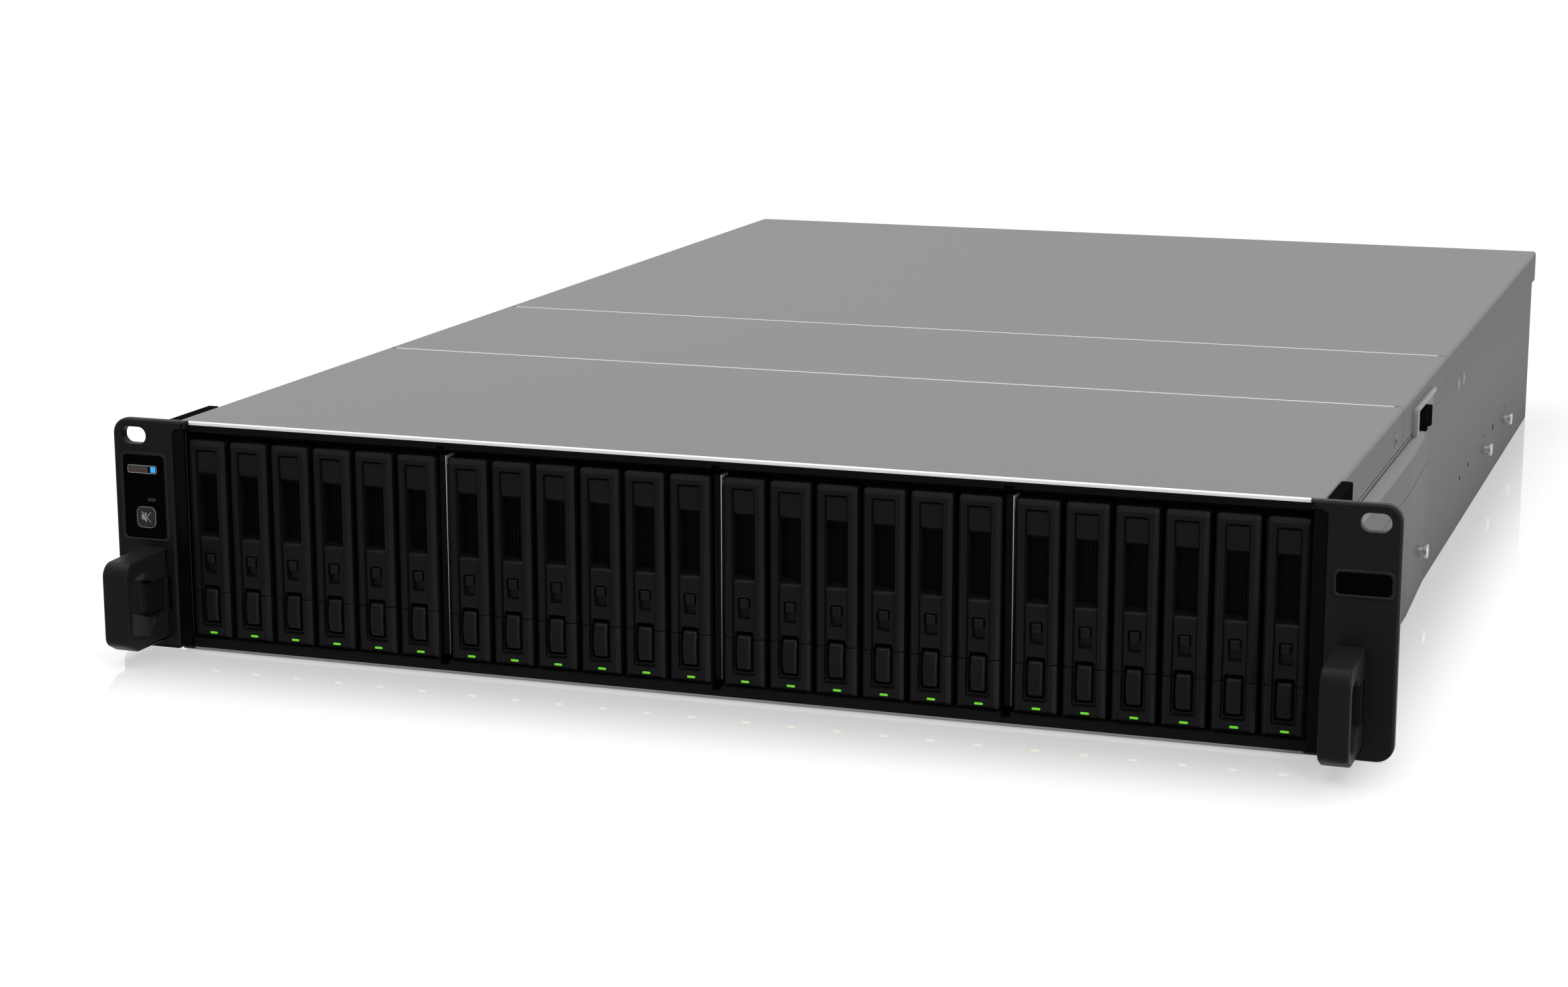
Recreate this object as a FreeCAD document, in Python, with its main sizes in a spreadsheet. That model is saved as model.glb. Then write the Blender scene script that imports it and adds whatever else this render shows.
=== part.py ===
import FreeCAD, Part
import os
import re
import Sketcher
from FreeCAD import Placement, Rotation, Vector

# Rack disk shelf, 2U high, with 24 upright 2.5 inch trays in four groups of six.
#
# Axes: +X to the right seen from the front, +Y to the rear, +Z up, millimetres.
# The origin is on the underside, midway between the grips and the rear pulls.
# Front details are measured from the front edge of the cover, which lies at front_y.

DIMS = [
    # overall
    ("rack_width", 482.6, "width over the rack ears, 19 inch rack"),
    ("slot_spacing", 465.1, "spacing of the rack holes"),
    ("unit_height", 88.1, "2U panel height"),
    ("shell_width", 430.5, "width over the cover"),
    ("shell_depth", 651, "cover front edge to rear wall"),
    ("shell_height", 88, "underside to top of cover"),
    ("front_y", -330, "front edge of the cover"),
    ("sheet", 1.2, "chassis sheet"),
    ("cover_sheet", 1.0, "cover sheet"),
    ("flange", 15, "depth of the cover's side flanges"),
    ("swell_out", 216.2, "outside of the side walls near the front"),
    ("swell_end", 262, "where the side walls fall back"),
    ("first_seam", 177.2, "front cover to hatch"),
    ("second_seam", 301.5, "hatch to rear cover"),
    ("seam_gap", 0.6, "gap between covers"),
    # bays
    ("first_bay", -203.64, "centre of the first bay"),
    ("bay_pitch", 17.2745, "bay to bay"),
    ("group_pitch", 106.97, "group of six to group of six"),
    ("bay_width", 15, "tray bezel width"),
    ("bay_low", 5.2, "lower edge of the bezel"),
    ("bay_top", 80.8, "upper edge of the bezel"),
    ("bay_seam", 22.8, "parting line of lever and lower bezel"),
    ("part_gap", 0.15, "half the gap at the parting line"),
    ("bezel_deep", 6.6, "thickness of the lever"),
    ("carrier_front", 7.4, "front of the carrier wall"),
    ("carrier_wall", 2.6, "carrier wall thickness"),
    ("carrier_rail", 2.7, "carrier rail thickness"),
    ("carrier_long", 118, "carrier depth"),
    ("panel_wide", 8.5, "recessed middle strip of the bezel"),
    ("panel_deep", 0.8, "depth of that strip"),
    ("pull_low", 45, "lower end of the air window"),
    ("pull_top", 66, "upper end of the air window"),
    ("pivot_y", 4.2, "lever pivot behind the face"),
    ("pivot_z", 76.4, "lever pivot height"),
    ("pin_rad", 1.0, "lever pin radius"),
    ("button_wide", 5.1, "eject button width"),
    ("button_low", 11.3, "eject button lower end"),
    ("button_top", 23.8, "eject button upper end"),
    ("lock_wide", 4.6, "lock recess width"),
    ("lock_low", 29.9, "lock recess lower end"),
    ("lock_top", 37.6, "lock recess upper end"),
    ("drive_thick", 14.8, "drive thickness"),
    ("drive_tall", 69.85, "drive width, upright"),
    ("drive_long", 100.2, "drive length"),
    # ears and grips
    ("ear_inner", 216.5, "inner edge of the ear plate"),
    ("ear_tab", 210.9, "inner end of the ear's top tab"),
    ("ear_thick", 4.2, "ear plate thickness"),
    ("ear_face", -2.5, "front of the ear plate"),
    ("slot_long", 10.3, "rack slot length"),
    ("slot_high", 6.5, "rack slot height"),
    ("slot_level", 81.75, "rack slot height above the underside"),
    ("wing_out", 219.4, "outside of the ear's side wing"),
    ("grip_in", 220.4, "inner side of the grip"),
    ("grip_out", 230.8, "outer side of the grip"),
    ("grip_reach", -32, "front of the grip"),
    ("trigger_in", 223.1, "inner side of the latch trigger"),
    ("trigger_wide", 3.8, "latch trigger width"),
    ("panel_x", -228.75, "centre of the control panel"),
    ("panel_z", 58.4, "centre height of the control panel"),
    ("panel_w", 17.7, "control panel width"),
    ("panel_t", 32, "control panel height"),
    ("badge_x", 229.25, "centre of the name plate recess"),
    ("badge_z", 60.7, "centre height of that recess"),
    ("badge_w", 18.5, "name plate width"),
    ("badge_t", 7.5, "name plate height"),
    ("plate_deep", 0.8, "depth of both plate recesses"),
    ("rim", 0.9, "raised rim round both recesses"),
    # inside
    ("cage_front", 9, "front of the drive cage sheets"),
    ("cage_rear", 124, "rear of the drive cage"),
    ("board_thick", 2.4, "backplane thickness"),
    ("fan_size", 80, "fan frame size"),
    ("fan_deep", 38, "fan frame depth"),
    ("fan_bore", 38.4, "fan bore radius"),
    ("fan_pitch", 107, "fan to fan"),
    ("fan_y", 195, "front of the fans"),
    ("psu_wide", 86, "power supply width"),
    ("psu_high", 39.6, "power supply height"),
    ("psu_long", 190, "power supply length"),
    ("psu_left", -206, "left side of the power supplies"),
    ("psu_reach", 41, "reach of the rear pulls"),
    ("stud_rad", 1.9, "rail stud neck radius"),
    ("head_rad", 2.9, "rail stud head radius"),
]
NAMES = {name for name, _, _ in DIMS}
GROUPS, PER_GROUP = 4, 6

doc = FreeCAD.newDocument("disk_shelf")
dims = doc.addObject("Spreadsheet::Sheet", "dims")
for row, (name, size, note) in enumerate(DIMS, 1):
    dims.set(f"A{row}", note)
    dims.set(f"B{row}", str(size))
    dims.setAlias(f"B{row}", name)
doc.recompute()


def bound(expr):
    """Writes the sheet's name before each dimension used in an expression."""
    return re.sub(r"[a-z_]+", lambda m: "dims." + m[0] if m[0] in NAMES else m[0], str(expr))


def size(expr):
    return float(dims.evalExpression(bound(expr)))


def link(obj, path, expr):
    obj.setExpression(path, bound(expr))


def place(obj, x=0, y=0, z=0, turn=None):
    """Sets an object's position from three expressions, and a turn if one is given."""
    if turn:
        obj.Placement = Placement(Vector(), turn)
    for axis, expr in zip("xyz", (x, y, z)):
        link(obj, f"Placement.Base.{axis}", expr)
    return obj


def body(label):
    made = doc.addObject("PartDesign::Body", label)
    made.Label = label
    return made


def origin_item(owner, role):
    return next(f for f in owner.Origin.OriginFeatures if f.Role == role)


def sketch(owner, name, role, offset=None):
    made = owner.newObject("Sketcher::SketchObject", name)
    made.AttachmentSupport = [(origin_item(owner, role), "")]
    made.MapMode = "FlatFace"
    if offset is not None:
        link(made, "AttachmentOffset.Base.z", offset)
    return made


def outline(sk, points):
    """Draws a closed outline whose corners are each held by two bound dimensions."""
    spots = [Vector(size(a), size(b), 0) for a, b in points]
    first, rules, sizes = sk.GeometryCount, [], []
    sk.addGeometry([Part.LineSegment(spot, spots[(i + 1) % len(spots)]) for i, spot in enumerate(spots)], False)
    for i, (a, b) in enumerate(points):
        rules.append(Sketcher.Constraint("Coincident", first + (i - 1) % len(points), 2, first + i, 1))
        for kind, expr, at in (("DistanceX", a, spots[i].x), ("DistanceY", b, spots[i].y)):
            sizes.append((sk.ConstraintCount + len(rules), expr))
            rules.append(Sketcher.Constraint(kind, -1, 1, first + i, 1, at))
    sk.addConstraint(rules)
    for where, expr in sizes:
        sk.setExpression(f"Constraints[{where}]", bound(expr))
    return sk


def ring_points(radius, count):
    """The corners of a regular outline, for small round pieces that repeat many times."""
    return [(f"({radius})*cos({360*k/count:g})", f"({radius})*sin({360*k/count:g})") for k in range(count)]


def rect(sk, left, right, low, top):
    return outline(sk, [(left, low), (right, low), (right, top), (left, top)])


def circle(sk, a, b, radius):
    index = sk.addGeometry(Part.Circle(Vector(size(a), size(b), 0), Vector(0, 0, 1), size(radius)), False)
    for con, expr in ((Sketcher.Constraint("DistanceX", -1, 1, index, 3, size(a)), a),
                      (Sketcher.Constraint("DistanceY", -1, 1, index, 3, size(b)), b),
                      (Sketcher.Constraint("Radius", index, size(radius)), radius)):
        sk.setExpression(f"Constraints[{sk.addConstraint(con)}]", bound(expr))
    return sk


def pad(owner, sk, length, flip=False, middle=False, name="Pad"):
    made = owner.newObject("PartDesign::Pad", name)
    made.Profile = sk
    link(made, "Length", length)
    made.Reversed = flip
    made.SideType = 2 if middle else 0
    return made


def pocket(owner, sk, depth, flip=False, middle=False, name="Pocket"):
    """Cuts a pocket, and stops if it took nothing away."""
    doc.recompute()
    before = owner.Shape.Volume
    made = owner.newObject("PartDesign::Pocket", name)
    made.Profile = sk
    link(made, "Length", depth)
    made.Reversed = flip
    made.SideType = 2 if middle else 0
    doc.recompute()
    if not owner.Shape.Volume < before - 1e-3:
        raise RuntimeError(f"{owner.Label}: {name} cut nothing")
    return made


def edges(owner, test):
    doc.recompute()
    return [f"Edge{i}" for i, e in enumerate(owner.Shape.Edges, 1) if test(e.BoundBox, e)]


def along(box, axis):
    """True for a straight edge that runs along one axis."""
    spans = {"X": box.XLength, "Y": box.YLength, "Z": box.ZLength}
    return spans.pop(axis) > 0.3 and max(spans.values()) < 1e-4


def near(value, expr, tol=0.02):
    return abs(value - size(expr)) < tol


def dress(owner, kind, amount, test, name=None):
    """Adds a fillet or a chamfer on the edges that pass a test."""
    chosen = edges(owner, test)
    if not chosen:
        raise RuntimeError(f"{owner.Label}: no edge for {kind}")
    base = owner.Tip
    made = owner.newObject("PartDesign::" + kind, name or kind)
    made.Base = (base, chosen)
    link(made, "Radius" if kind == "Fillet" else "Size", amount)
    doc.recompute()
    return made


def block(name, x, y, z):
    """A box primitive from three (low, high) pairs of expressions."""
    made = doc.addObject("Part::Box", name)
    for prop, (low, high) in (("Length", x), ("Width", y), ("Height", z)):
        link(made, prop, f"({high}) - ({low})")
    return place(made, x[0], y[0], z[0])


def group(label, parts):
    """Several separate solids in one node."""
    made = doc.addObject("Part::Compound", label)
    made.Label = label
    made.Links = parts
    return made


nodes = []


def node(obj):
    nodes.append(obj)
    return obj


# ---------------------------------------------------------------- trays
# The carrier is a U of two rails and a front wall, with the fixed lower bezel on its
# foot. The lever covers the rest of the front and swings on a pin near its top.

def make_carrier(label, cheeks=False, pin=False):
    made = body(label)
    back = "carrier_front + 2.2"
    wall = "carrier_front + carrier_wall + 2.2"
    side = outline(sketch(made, "side", "YZ_Plane"), [
        ("0", "bay_low"), ("carrier_long", "bay_low"),
        ("carrier_long", "bay_low + carrier_rail"), (wall, "bay_low + carrier_rail"),
        (wall, "bay_top - carrier_rail"), ("carrier_long", "bay_top - carrier_rail"),
        ("carrier_long", "bay_top"), (back, "bay_top"), (back, "70"), ("carrier_front", "70"),
        ("carrier_front", "bay_seam - part_gap"), ("0", "bay_seam - part_gap")])
    pad(made, side, "bay_width", middle=True)
    strip = rect(sketch(made, "strip", "XZ_Plane"), "-panel_wide/2", "panel_wide/2", "9.4", "bay_seam")
    pocket(made, strip, "panel_deep")
    well = rect(sketch(made, "well", "XZ_Plane"), "-button_wide/2 - 0.75", "button_wide/2 + 0.75", "10.4", "bay_seam")
    pocket(made, well, "carrier_front", name="ButtonWell")
    dress(made, "Chamfer", "0.7", lambda b, e: along(b, "Z") and near(b.YMin, 0) and near(abs(b.XMin), "bay_width/2"))
    if cheeks:
        lugs = sketch(made, "lugs", "YZ_Plane")
        outline(lugs, [("pivot_y - 2.5", "pivot_z - 1"), ("pivot_y - 1", "pivot_z - 2.5"),
                       (back, "pivot_z - 2.5"), (back, "pivot_z + 1.2"), ("pivot_y + 2", "pivot_z + 1.2"),
                       ("pivot_y + 1", "pivot_z + 2.5"), ("pivot_y - 1", "pivot_z + 2.5"),
                       ("pivot_y - 2.5", "pivot_z + 1")])
        pad(made, lugs, "12.4", middle=True, name="Cheeks")
        between = rect(sketch(made, "between", "XZ_Plane"), "-4", "4", "pivot_z - 3", "pivot_z + 3")
        pocket(made, between, back, name="KnuckleGap")
    if pin:
        shaft = circle(sketch(made, "shaft", "YZ_Plane"), "pivot_y", "pivot_z", "pin_rad")
        pad(made, shaft, "12.4", middle=True, name="Pin")
    return made


def make_lever(label, cheeks=False, pin=False):
    made = body(label)
    face = rect(sketch(made, "face", "XZ_Plane"), "-bay_width/2", "bay_width/2", "bay_seam + part_gap", "bay_top")
    pad(made, face, "bezel_deep", flip=True)
    strip = outline(sketch(made, "strip", "YZ_Plane"), [
        ("-1", "bay_seam - 1"), ("panel_deep", "bay_seam - 1"), ("panel_deep", "pull_low - 2"),
        ("panel_deep + 1", "pull_low - 0.6"), ("panel_deep + 3", "pull_low"), ("bezel_deep + 1", "pull_low"),
        ("bezel_deep + 1", "pull_top"), ("panel_deep + 3", "pull_top"), ("panel_deep + 1", "pull_top + 0.8"),
        ("panel_deep", "pull_top + 2.6"), ("panel_deep", "77.3"), ("-1", "77.3")])
    pocket(made, strip, "panel_wide", middle=True, name="Strip")
    gap = rect(sketch(made, "gap", "XZ_Plane"), "-button_wide/2 - 0.75", "button_wide/2 + 0.75",
               "bay_seam - 1", "button_top + 1.4")
    pocket(made, gap, "20", name="ButtonGap")
    well = rect(sketch(made, "well", "XZ_Plane"), "-lock_wide/2", "lock_wide/2", "lock_low", "lock_top")
    pocket(made, well, "panel_deep + 1.8", name="LockWell")
    dress(made, "Chamfer", "1.2", lambda b, e: along(b, "Y") and near(b.ZMin, "bay_top"), "TopCorners")
    dress(made, "Chamfer", "0.7", lambda b, e: near(b.YMax, 0) and (
        near(b.ZMax, "bay_top") or along(b, "Z") and near(abs(b.XMin), "bay_width/2")), "FrontBevel")
    if cheeks:
        for mark in (-1, 1):
            nook = rect(sketch(made, "nook", "XZ_Plane", "-bezel_deep"),
                        f"{mark}*5.1 - 1.5", f"{mark}*5.1 + 1.5", "pivot_z - 3.9", "bay_top + 1")
            pocket(made, nook, "bezel_deep - 1.2", flip=True, name="CheekNook")
    if pin:
        bore = circle(sketch(made, "bore", "YZ_Plane"), "pivot_y", "pivot_z", "pin_rad + 0.08")
        pocket(made, bore, "9", middle=True, name="Bore")
    return made


def make_button(label):
    """The press button has a gently domed face."""
    made = body(label)
    side = sketch(made, "side", "YZ_Plane")
    low, top, mid = size("button_low"), size("button_top"), size("(button_low + button_top)/2")
    side.addGeometry(Part.LineSegment(Vector(0.5, low, 0), Vector(5, low, 0)), False)
    side.addGeometry(Part.LineSegment(Vector(5, low, 0), Vector(5, top, 0)), False)
    side.addGeometry(Part.LineSegment(Vector(5, top, 0), Vector(0.5, top, 0)), False)
    side.addGeometry(Part.Arc(Vector(0.5, top, 0), Vector(-0.7, mid, 0), Vector(0.5, low, 0)), False)
    for a, b in ((0, 1), (1, 2)):
        side.addConstraint(Sketcher.Constraint("Coincident", a, 2, b, 1))
    side.addConstraint(Sketcher.Constraint("Coincident", 2, 2, 3, 1))
    side.addConstraint(Sketcher.Constraint("Coincident", 3, 2, 0, 1))
    side.addConstraint(Sketcher.Constraint("Horizontal", 0))
    side.addConstraint(Sketcher.Constraint("Vertical", 1))
    side.addConstraint(Sketcher.Constraint("Horizontal", 2))
    for item, point, kind, expr in ((0, 1, "DistanceX", "0.5"), (0, 1, "DistanceY", "button_low"),
                                    (1, 1, "DistanceX", "5"), (1, 2, "DistanceY", "button_top"),
                                    (2, 2, "DistanceX", "0.5")):
        con = side.addConstraint(Sketcher.Constraint(kind, -1, 1, item, point, size(expr)))
        side.setExpression(f"Constraints[{con}]", bound(expr))
    side.addConstraint(Sketcher.Constraint("Radius", 3, side.Geometry[3].Radius))
    pad(made, side, "button_wide", middle=True)
    return made


carrier, lever = make_carrier("carrier"), make_lever("lever")
carrier_open, lever_open = make_carrier("carrier_open", cheeks=True), make_lever("lever_open", cheeks=True)
carrier_pin = make_carrier("carrier_pin", cheeks=True, pin=True)
lever_pin = make_lever("lever_pin", cheeks=True, pin=True)
button = make_button("button")
lock = block("lock", ("-1.7", "1.7"), ("0.2", "panel_deep + 1.75"), ("lock_top - 4", "lock_top - 0.4"))
drive = block("drive", ("-drive_thick/2", "drive_thick/2"), ("13", "13 + drive_long"),
              ("bay_low + carrier_rail", "bay_low + carrier_rail + drive_tall"))

OPEN_FROM = 19
for i in range(GROUPS * PER_GROUP):
    number, (row, col) = i + 1, divmod(i, PER_GROUP)
    at = (f"first_bay + {row}*group_pitch + {col}*bay_pitch", "front_y", "0")
    if number < OPEN_FROM:
        pieces = {f"tray_{number:02d}": [carrier, lever, lock, button, drive]}
    elif number < GROUPS * PER_GROUP:
        pieces = {f"tray_{number}": [carrier_open, button, drive], f"lever_{number}": [lever_open, lock]}
    else:
        pieces = {f"tray_{number}": [carrier_pin], f"lever_{number}": [lever_pin], f"lock_slider_{number}": [lock],
                  f"eject_button_{number}": [button], f"drive_{number}": [drive]}
    for label, solids in pieces.items():
        node(place(group(label, solids), *at))

# ---------------------------------------------------------------- chassis
# One folded tray: floor, side walls and rear wall, with a shelf and wall for the power
# supplies. Near the front the side walls stand out a little, below the cover's flange.

chassis = node(body("chassis_base"))
wall_out = "shell_width/2 - cover_sheet - 0.2"
section = outline(sketch(chassis, "section", "XZ_Plane"), [
    (f"-({wall_out})", "0"), (wall_out, "0"), (wall_out, "shell_height - 1.4"),
    (f"{wall_out} - sheet", "shell_height - 1.4"), (f"{wall_out} - sheet", "sheet"),
    (f"-({wall_out}) + sheet", "sheet"), (f"-({wall_out}) + sheet", "shell_height - 1.4"),
    (f"-({wall_out})", "shell_height - 1.4")])
pad(chassis, section, "shell_depth", flip=True, name="Tray")
for mark in (-1, 1):
    swell = outline(sketch(chassis, "swell", "XZ_Plane"), [
        (f"{mark}*({wall_out} - 0.3)", "0"), (f"{mark}*swell_out", "0"), (f"{mark}*swell_out", "69.4"),
        (f"{mark}*(swell_out - 1.6)", "71"), (f"{mark}*({wall_out} - 0.3)", "71")])
    pad(chassis, swell, "swell_end", flip=True, name="SideSwell")
    fade = outline(sketch(chassis, "fade", "XY_Plane"), [
        (f"{mark}*swell_out", "swell_end - 62"), (f"{mark}*(swell_out + 1)", "swell_end - 62"),
        (f"{mark}*(swell_out + 1)", "swell_end + 1"), (f"{mark}*({wall_out})", "swell_end + 1"),
        (f"{mark}*({wall_out})", "swell_end")])
    pocket(chassis, fade, "80", flip=True, name="SwellFade")
rear_wall = rect(sketch(chassis, "rear_wall", "XZ_Plane", "-shell_depth"), f"-({wall_out})", wall_out,
                 "0", "shell_height - 1.4")
pad(chassis, rear_wall, "sheet", name="RearWall")
psu_hole = rect(sketch(chassis, "psu_hole", "XZ_Plane", "-shell_depth"), "psu_left - 0.5",
                "psu_left + psu_wide + 0.5", "2.4", "85.4")
pocket(chassis, psu_hole, "sheet + 1", flip=True, name="SupplyOpening")
shelf = sketch(chassis, "shelf", "XZ_Plane", "-shell_depth")
outline(shelf, [("psu_left + psu_wide + 0.5", "sheet/2"), ("psu_left + psu_wide + 1.7", "sheet/2"),
                ("psu_left + psu_wide + 1.7", "85.4"), ("psu_left + psu_wide + 0.5", "85.4"),
                ("psu_left + psu_wide + 0.5", "44.4"), (f"-({wall_out} - 0.3)", "44.4"),
                (f"-({wall_out} - 0.3)", "43.4"), ("psu_left + psu_wide + 0.5", "43.4")])
pad(chassis, shelf, "psu_long + 4", name="SupplyShelf")
port_hole = rect(sketch(chassis, "port_hole", "XZ_Plane", "-shell_depth"), "-98.5", "38.5", "4.5", "41.5")
pocket(chassis, port_hole, "sheet + 1", flip=True, name="ModuleOpening")
air = rect(sketch(chassis, "air", "XZ_Plane", "-shell_depth"), "-104", "-99", "50", "80")
first_air = pocket(chassis, air, "sheet + 1", flip=True, name="AirSlot")
row_of_slots = chassis.newObject("PartDesign::LinearPattern", "AirSlots")
row_of_slots.Originals = [first_air]
row_of_slots.Direction = (air, ["H_Axis"])
row_of_slots.Length = 300
row_of_slots.Occurrences = 21
chassis.Tip = row_of_slots
place(chassis, "0", "front_y", "0")

# ---------------------------------------------------------------- covers
# Three folded lids end to end. Each has two side flanges; the front one has a turned
# down front edge.

def make_cover(label, start, end):
    made = node(body(label))
    half = "shell_width/2"
    profile = outline(sketch(made, "profile", "XZ_Plane", f"-({start})"), [
        (f"-{half}", "shell_height - flange"), (f"-{half} + cover_sheet", "shell_height - flange"),
        (f"-{half} + cover_sheet", "shell_height - cover_sheet"),
        (f"{half} - cover_sheet", "shell_height - cover_sheet"),
        (f"{half} - cover_sheet", "shell_height - flange"), (half, "shell_height - flange"),
        (half, "shell_height"), (f"-{half}", "shell_height")])
    pad(made, profile, f"({end}) - ({start})", flip=True)
    return made


front_cover = make_cover("front_cover", "0", "first_seam - seam_gap/2")
edge = rect(sketch(front_cover, "edge", "XZ_Plane"), "-ear_tab + 0.4", "ear_tab - 0.4",
            "shell_height - 1.5", "shell_height - cover_sheet/2")
pad(front_cover, edge, "cover_sheet", flip=True, name="FrontEdge")
middle_cover = make_cover("middle_cover", "first_seam + seam_gap/2", "second_seam - seam_gap/2")
for mark in (-1, 1):
    base = outline(sketch(middle_cover, "latch_base", "YZ_Plane", f"{mark}*(shell_width/2 - 0.4)"), [
        ("212", "73.2"), ("262", "73.2"), ("262", "80.4"), ("212", "80.4")])
    pad(middle_cover, base, "1.3", flip=mark < 0, name="LatchBase")
    frame = outline(sketch(middle_cover, "latch_frame", "YZ_Plane", f"{mark}*(shell_width/2 - 0.4)"), [
        ("212", "71.2"), ("216.5", "71.2"), ("216.5", "80.2"), ("264", "80.2"), ("264", "82.6"), ("212", "82.6")])
    pad(middle_cover, frame, "2.6", flip=mark < 0, name="LatchFrame")
rear_cover = make_cover("rear_cover", "second_seam + seam_gap/2", "shell_depth + 1.2")
for lid in (front_cover, middle_cover, rear_cover):
    long_edge = lambda b, e: along(b, "Y") and near(b.ZMin, "shell_height") and near(abs(b.XMin), "shell_width/2")
    dress(lid, "Fillet", "0.9", long_edge, "Bend")
    place(lid, "0", "front_y", "0")
rear_step = lambda b, e: along(b, "X") and near(b.YMax, "front_y + shell_depth + 1.2") and near(
    b.ZMin, "shell_height - flange") and b.XLength < 2
dress(rear_cover, "Chamfer", "0.9", rear_step, "RearStep")

# ---------------------------------------------------------------- cover latches
# A thumb slide in a sheet frame on each side of the hatch.

for side, mark in (("left", -1), ("right", 1)):
    latch = body(f"cover_latch_{side}")
    slab = outline(sketch(latch, "slab", "XY_Plane"), [
        ("0", "0"), (f"{mark}*3.4", "1"), (f"{mark}*2.2", "10"), (f"{mark}*2.2", "18"),
        (f"{mark}*3.4", "26"), (f"{mark}*3.4", "31"), ("0", "32")])
    pad(latch, slab, "10.4")
    node(place(latch, f"{mark}*(shell_width/2 + 0.9)", "front_y + 225", "67.4"))

# ---------------------------------------------------------------- bay frame and cage
frame_edge = "ear_inner - 2.4"
bay_frame = node(body("bay_frame"))
low_rail = outline(sketch(bay_frame, "low_rail", "YZ_Plane"), [
    ("-0.6", "sheet"), ("8.4", "sheet"), ("8.4", "4.5"), ("1.2", "4.9"), ("0.2", "4.4")])
pad(bay_frame, low_rail, f"2*({frame_edge}) - 4.4", middle=True, name="LowRail")
ends = sketch(bay_frame, "ends", "XZ_Plane", "-1.8")
for mark in (-1, 1):
    rect(ends, f"{mark}*212.15 - 0.35", f"{mark}*212.15 + 0.35", "sheet", "86.2")
pad(bay_frame, ends, "6.6", flip=True, name="EndPosts")
cheeks = sketch(bay_frame, "cheeks", "XZ_Plane")
for mark in (-1, 1):
    rect(cheeks, f"{mark}*211.8", f"{mark}*(swell_out + 0.1)", "sheet", "84.8")
pad(bay_frame, cheeks, "1.4", name="EndCheeks")
top_rail = rect(sketch(bay_frame, "top_rail", "YZ_Plane"), "0.3", "8.4", "84", "86.4")
pad(bay_frame, top_rail, f"2*({frame_edge}) - 4.4", middle=True, name="TopRail")
for level, low, high in (("Low", "3", "6"), ("Top", "83", "85.2")):
    notch = sketch(bay_frame, "notch" + level, "XZ_Plane")
    for k in (-1, 0, 1):
        rect(notch, f"{k}*group_pitch - 1.7", f"{k}*group_pitch + 1.7", low, high)
    pocket(bay_frame, notch, "24", middle=True, name=level + "Notches")
place(bay_frame, "0", "front_y", "0")

cage = node(body("drive_cage"))
plan = sketch(cage, "plan", "XZ_Plane", "-cage_front")
rect(plan, "-212.4", "212.4", "sheet", "84.6")
floor_z, roof_z, rib = "bay_low - 0.4", "bay_top + 0.4", "3.4"
for g in range(GROUPS):
    first = f"(first_bay + {g}*group_pitch)"
    left, right = f"{first} - bay_width/2 - 1.13", f"{first} + 5*bay_pitch + bay_width/2 + 1.13"
    comb_low, comb_top = [(left, floor_z)], []
    for k in range(PER_GROUP - 1):
        mid = f"{first} + {k + 0.5}*bay_pitch"
        comb_low += [(f"{mid} - 0.5", floor_z), (f"{mid} - 0.5", f"{floor_z} + {rib}"),
                     (f"{mid} + 0.5", f"{floor_z} + {rib}"), (f"{mid} + 0.5", floor_z)]
        comb_top += [(f"{mid} - 0.5", roof_z), (f"{mid} - 0.5", f"{roof_z} - {rib}"),
                     (f"{mid} + 0.5", f"{roof_z} - {rib}"), (f"{mid} + 0.5", roof_z)]
    outline(plan, comb_low + [(right, floor_z), (right, roof_z)] + comb_top[::-1] + [(left, roof_z)])
pad(cage, plan, "cage_rear - cage_front", flip=True)
fins = sketch(cage, "fins", "XZ_Plane", "-2.6")
for k in (-1, 0, 1):
    rect(fins, f"{k}*group_pitch - 1.3", f"{k}*group_pitch + 1.3", "6.4", "81.6")
pad(cage, fins, "cage_front - 2", flip=True, name="GroupFins")
place(cage, "0", "front_y", "0")

# ---------------------------------------------------------------- backplane
board = node(body("backplane"))
face = rect(sketch(board, "face", "XZ_Plane", "-cage_rear"), "-211", "211", "sheet", "83")
pad(board, face, "board_thick", flip=True, name="Board")
sockets, gaps = sketch(board, "sockets", "XZ_Plane", "-cage_rear"), sketch(board, "gaps", "XZ_Plane", "-cage_rear + 1")
for g in range(GROUPS):
    for k in range(PER_GROUP):
        x = f"first_bay + {g}*group_pitch + {k}*bay_pitch"
        rect(sockets, f"{x} - 2.4", f"{x} + 2.4", "14", "46")
        if k % 2 == 0:
            rect(gaps, f"{x} + 1.5", f"{x} + bay_pitch - 1.5", "52", "76")
pad(board, sockets, "10", name="Sockets")
pocket(board, gaps, "9", name="AirGaps")
place(board, "0", "front_y", "0")

# ---------------------------------------------------------------- fans
fan_frame = body("fan_frame")
case = sketch(fan_frame, "case", "XZ_Plane")
rect(case, "-fan_size/2", "fan_size/2", "-fan_size/2", "fan_size/2")
outline(case, ring_points("fan_bore", 16))
pad(fan_frame, case, "fan_deep", flip=True, name="Case")
spider = outline(sketch(fan_frame, "spider", "XZ_Plane", "-fan_deep + 4"), [
    ("-39", "-2"), ("-14", "-10"), ("-2", "-39"), ("2", "-39"), ("14", "-10"), ("39", "-2"),
    ("39", "2"), ("14", "10"), ("2", "39"), ("-2", "39"), ("-14", "10"), ("-39", "2")])
pad(fan_frame, spider, "3", flip=True, name="Spider")
rotor = body("rotor")
hub = outline(sketch(rotor, "hub", "XY_Plane"), ring_points("17.5", 12))
pad(rotor, hub, "29", name="Hub")
blade = outline(sketch(rotor, "blade", "XZ_Plane", "-16"), [("-9", "2"), ("-7.4", "2"), ("9", "22"), ("7.4", "22")])
one_blade = pad(rotor, blade, "20", flip=True, name="Blade")
doc.recompute()
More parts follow.
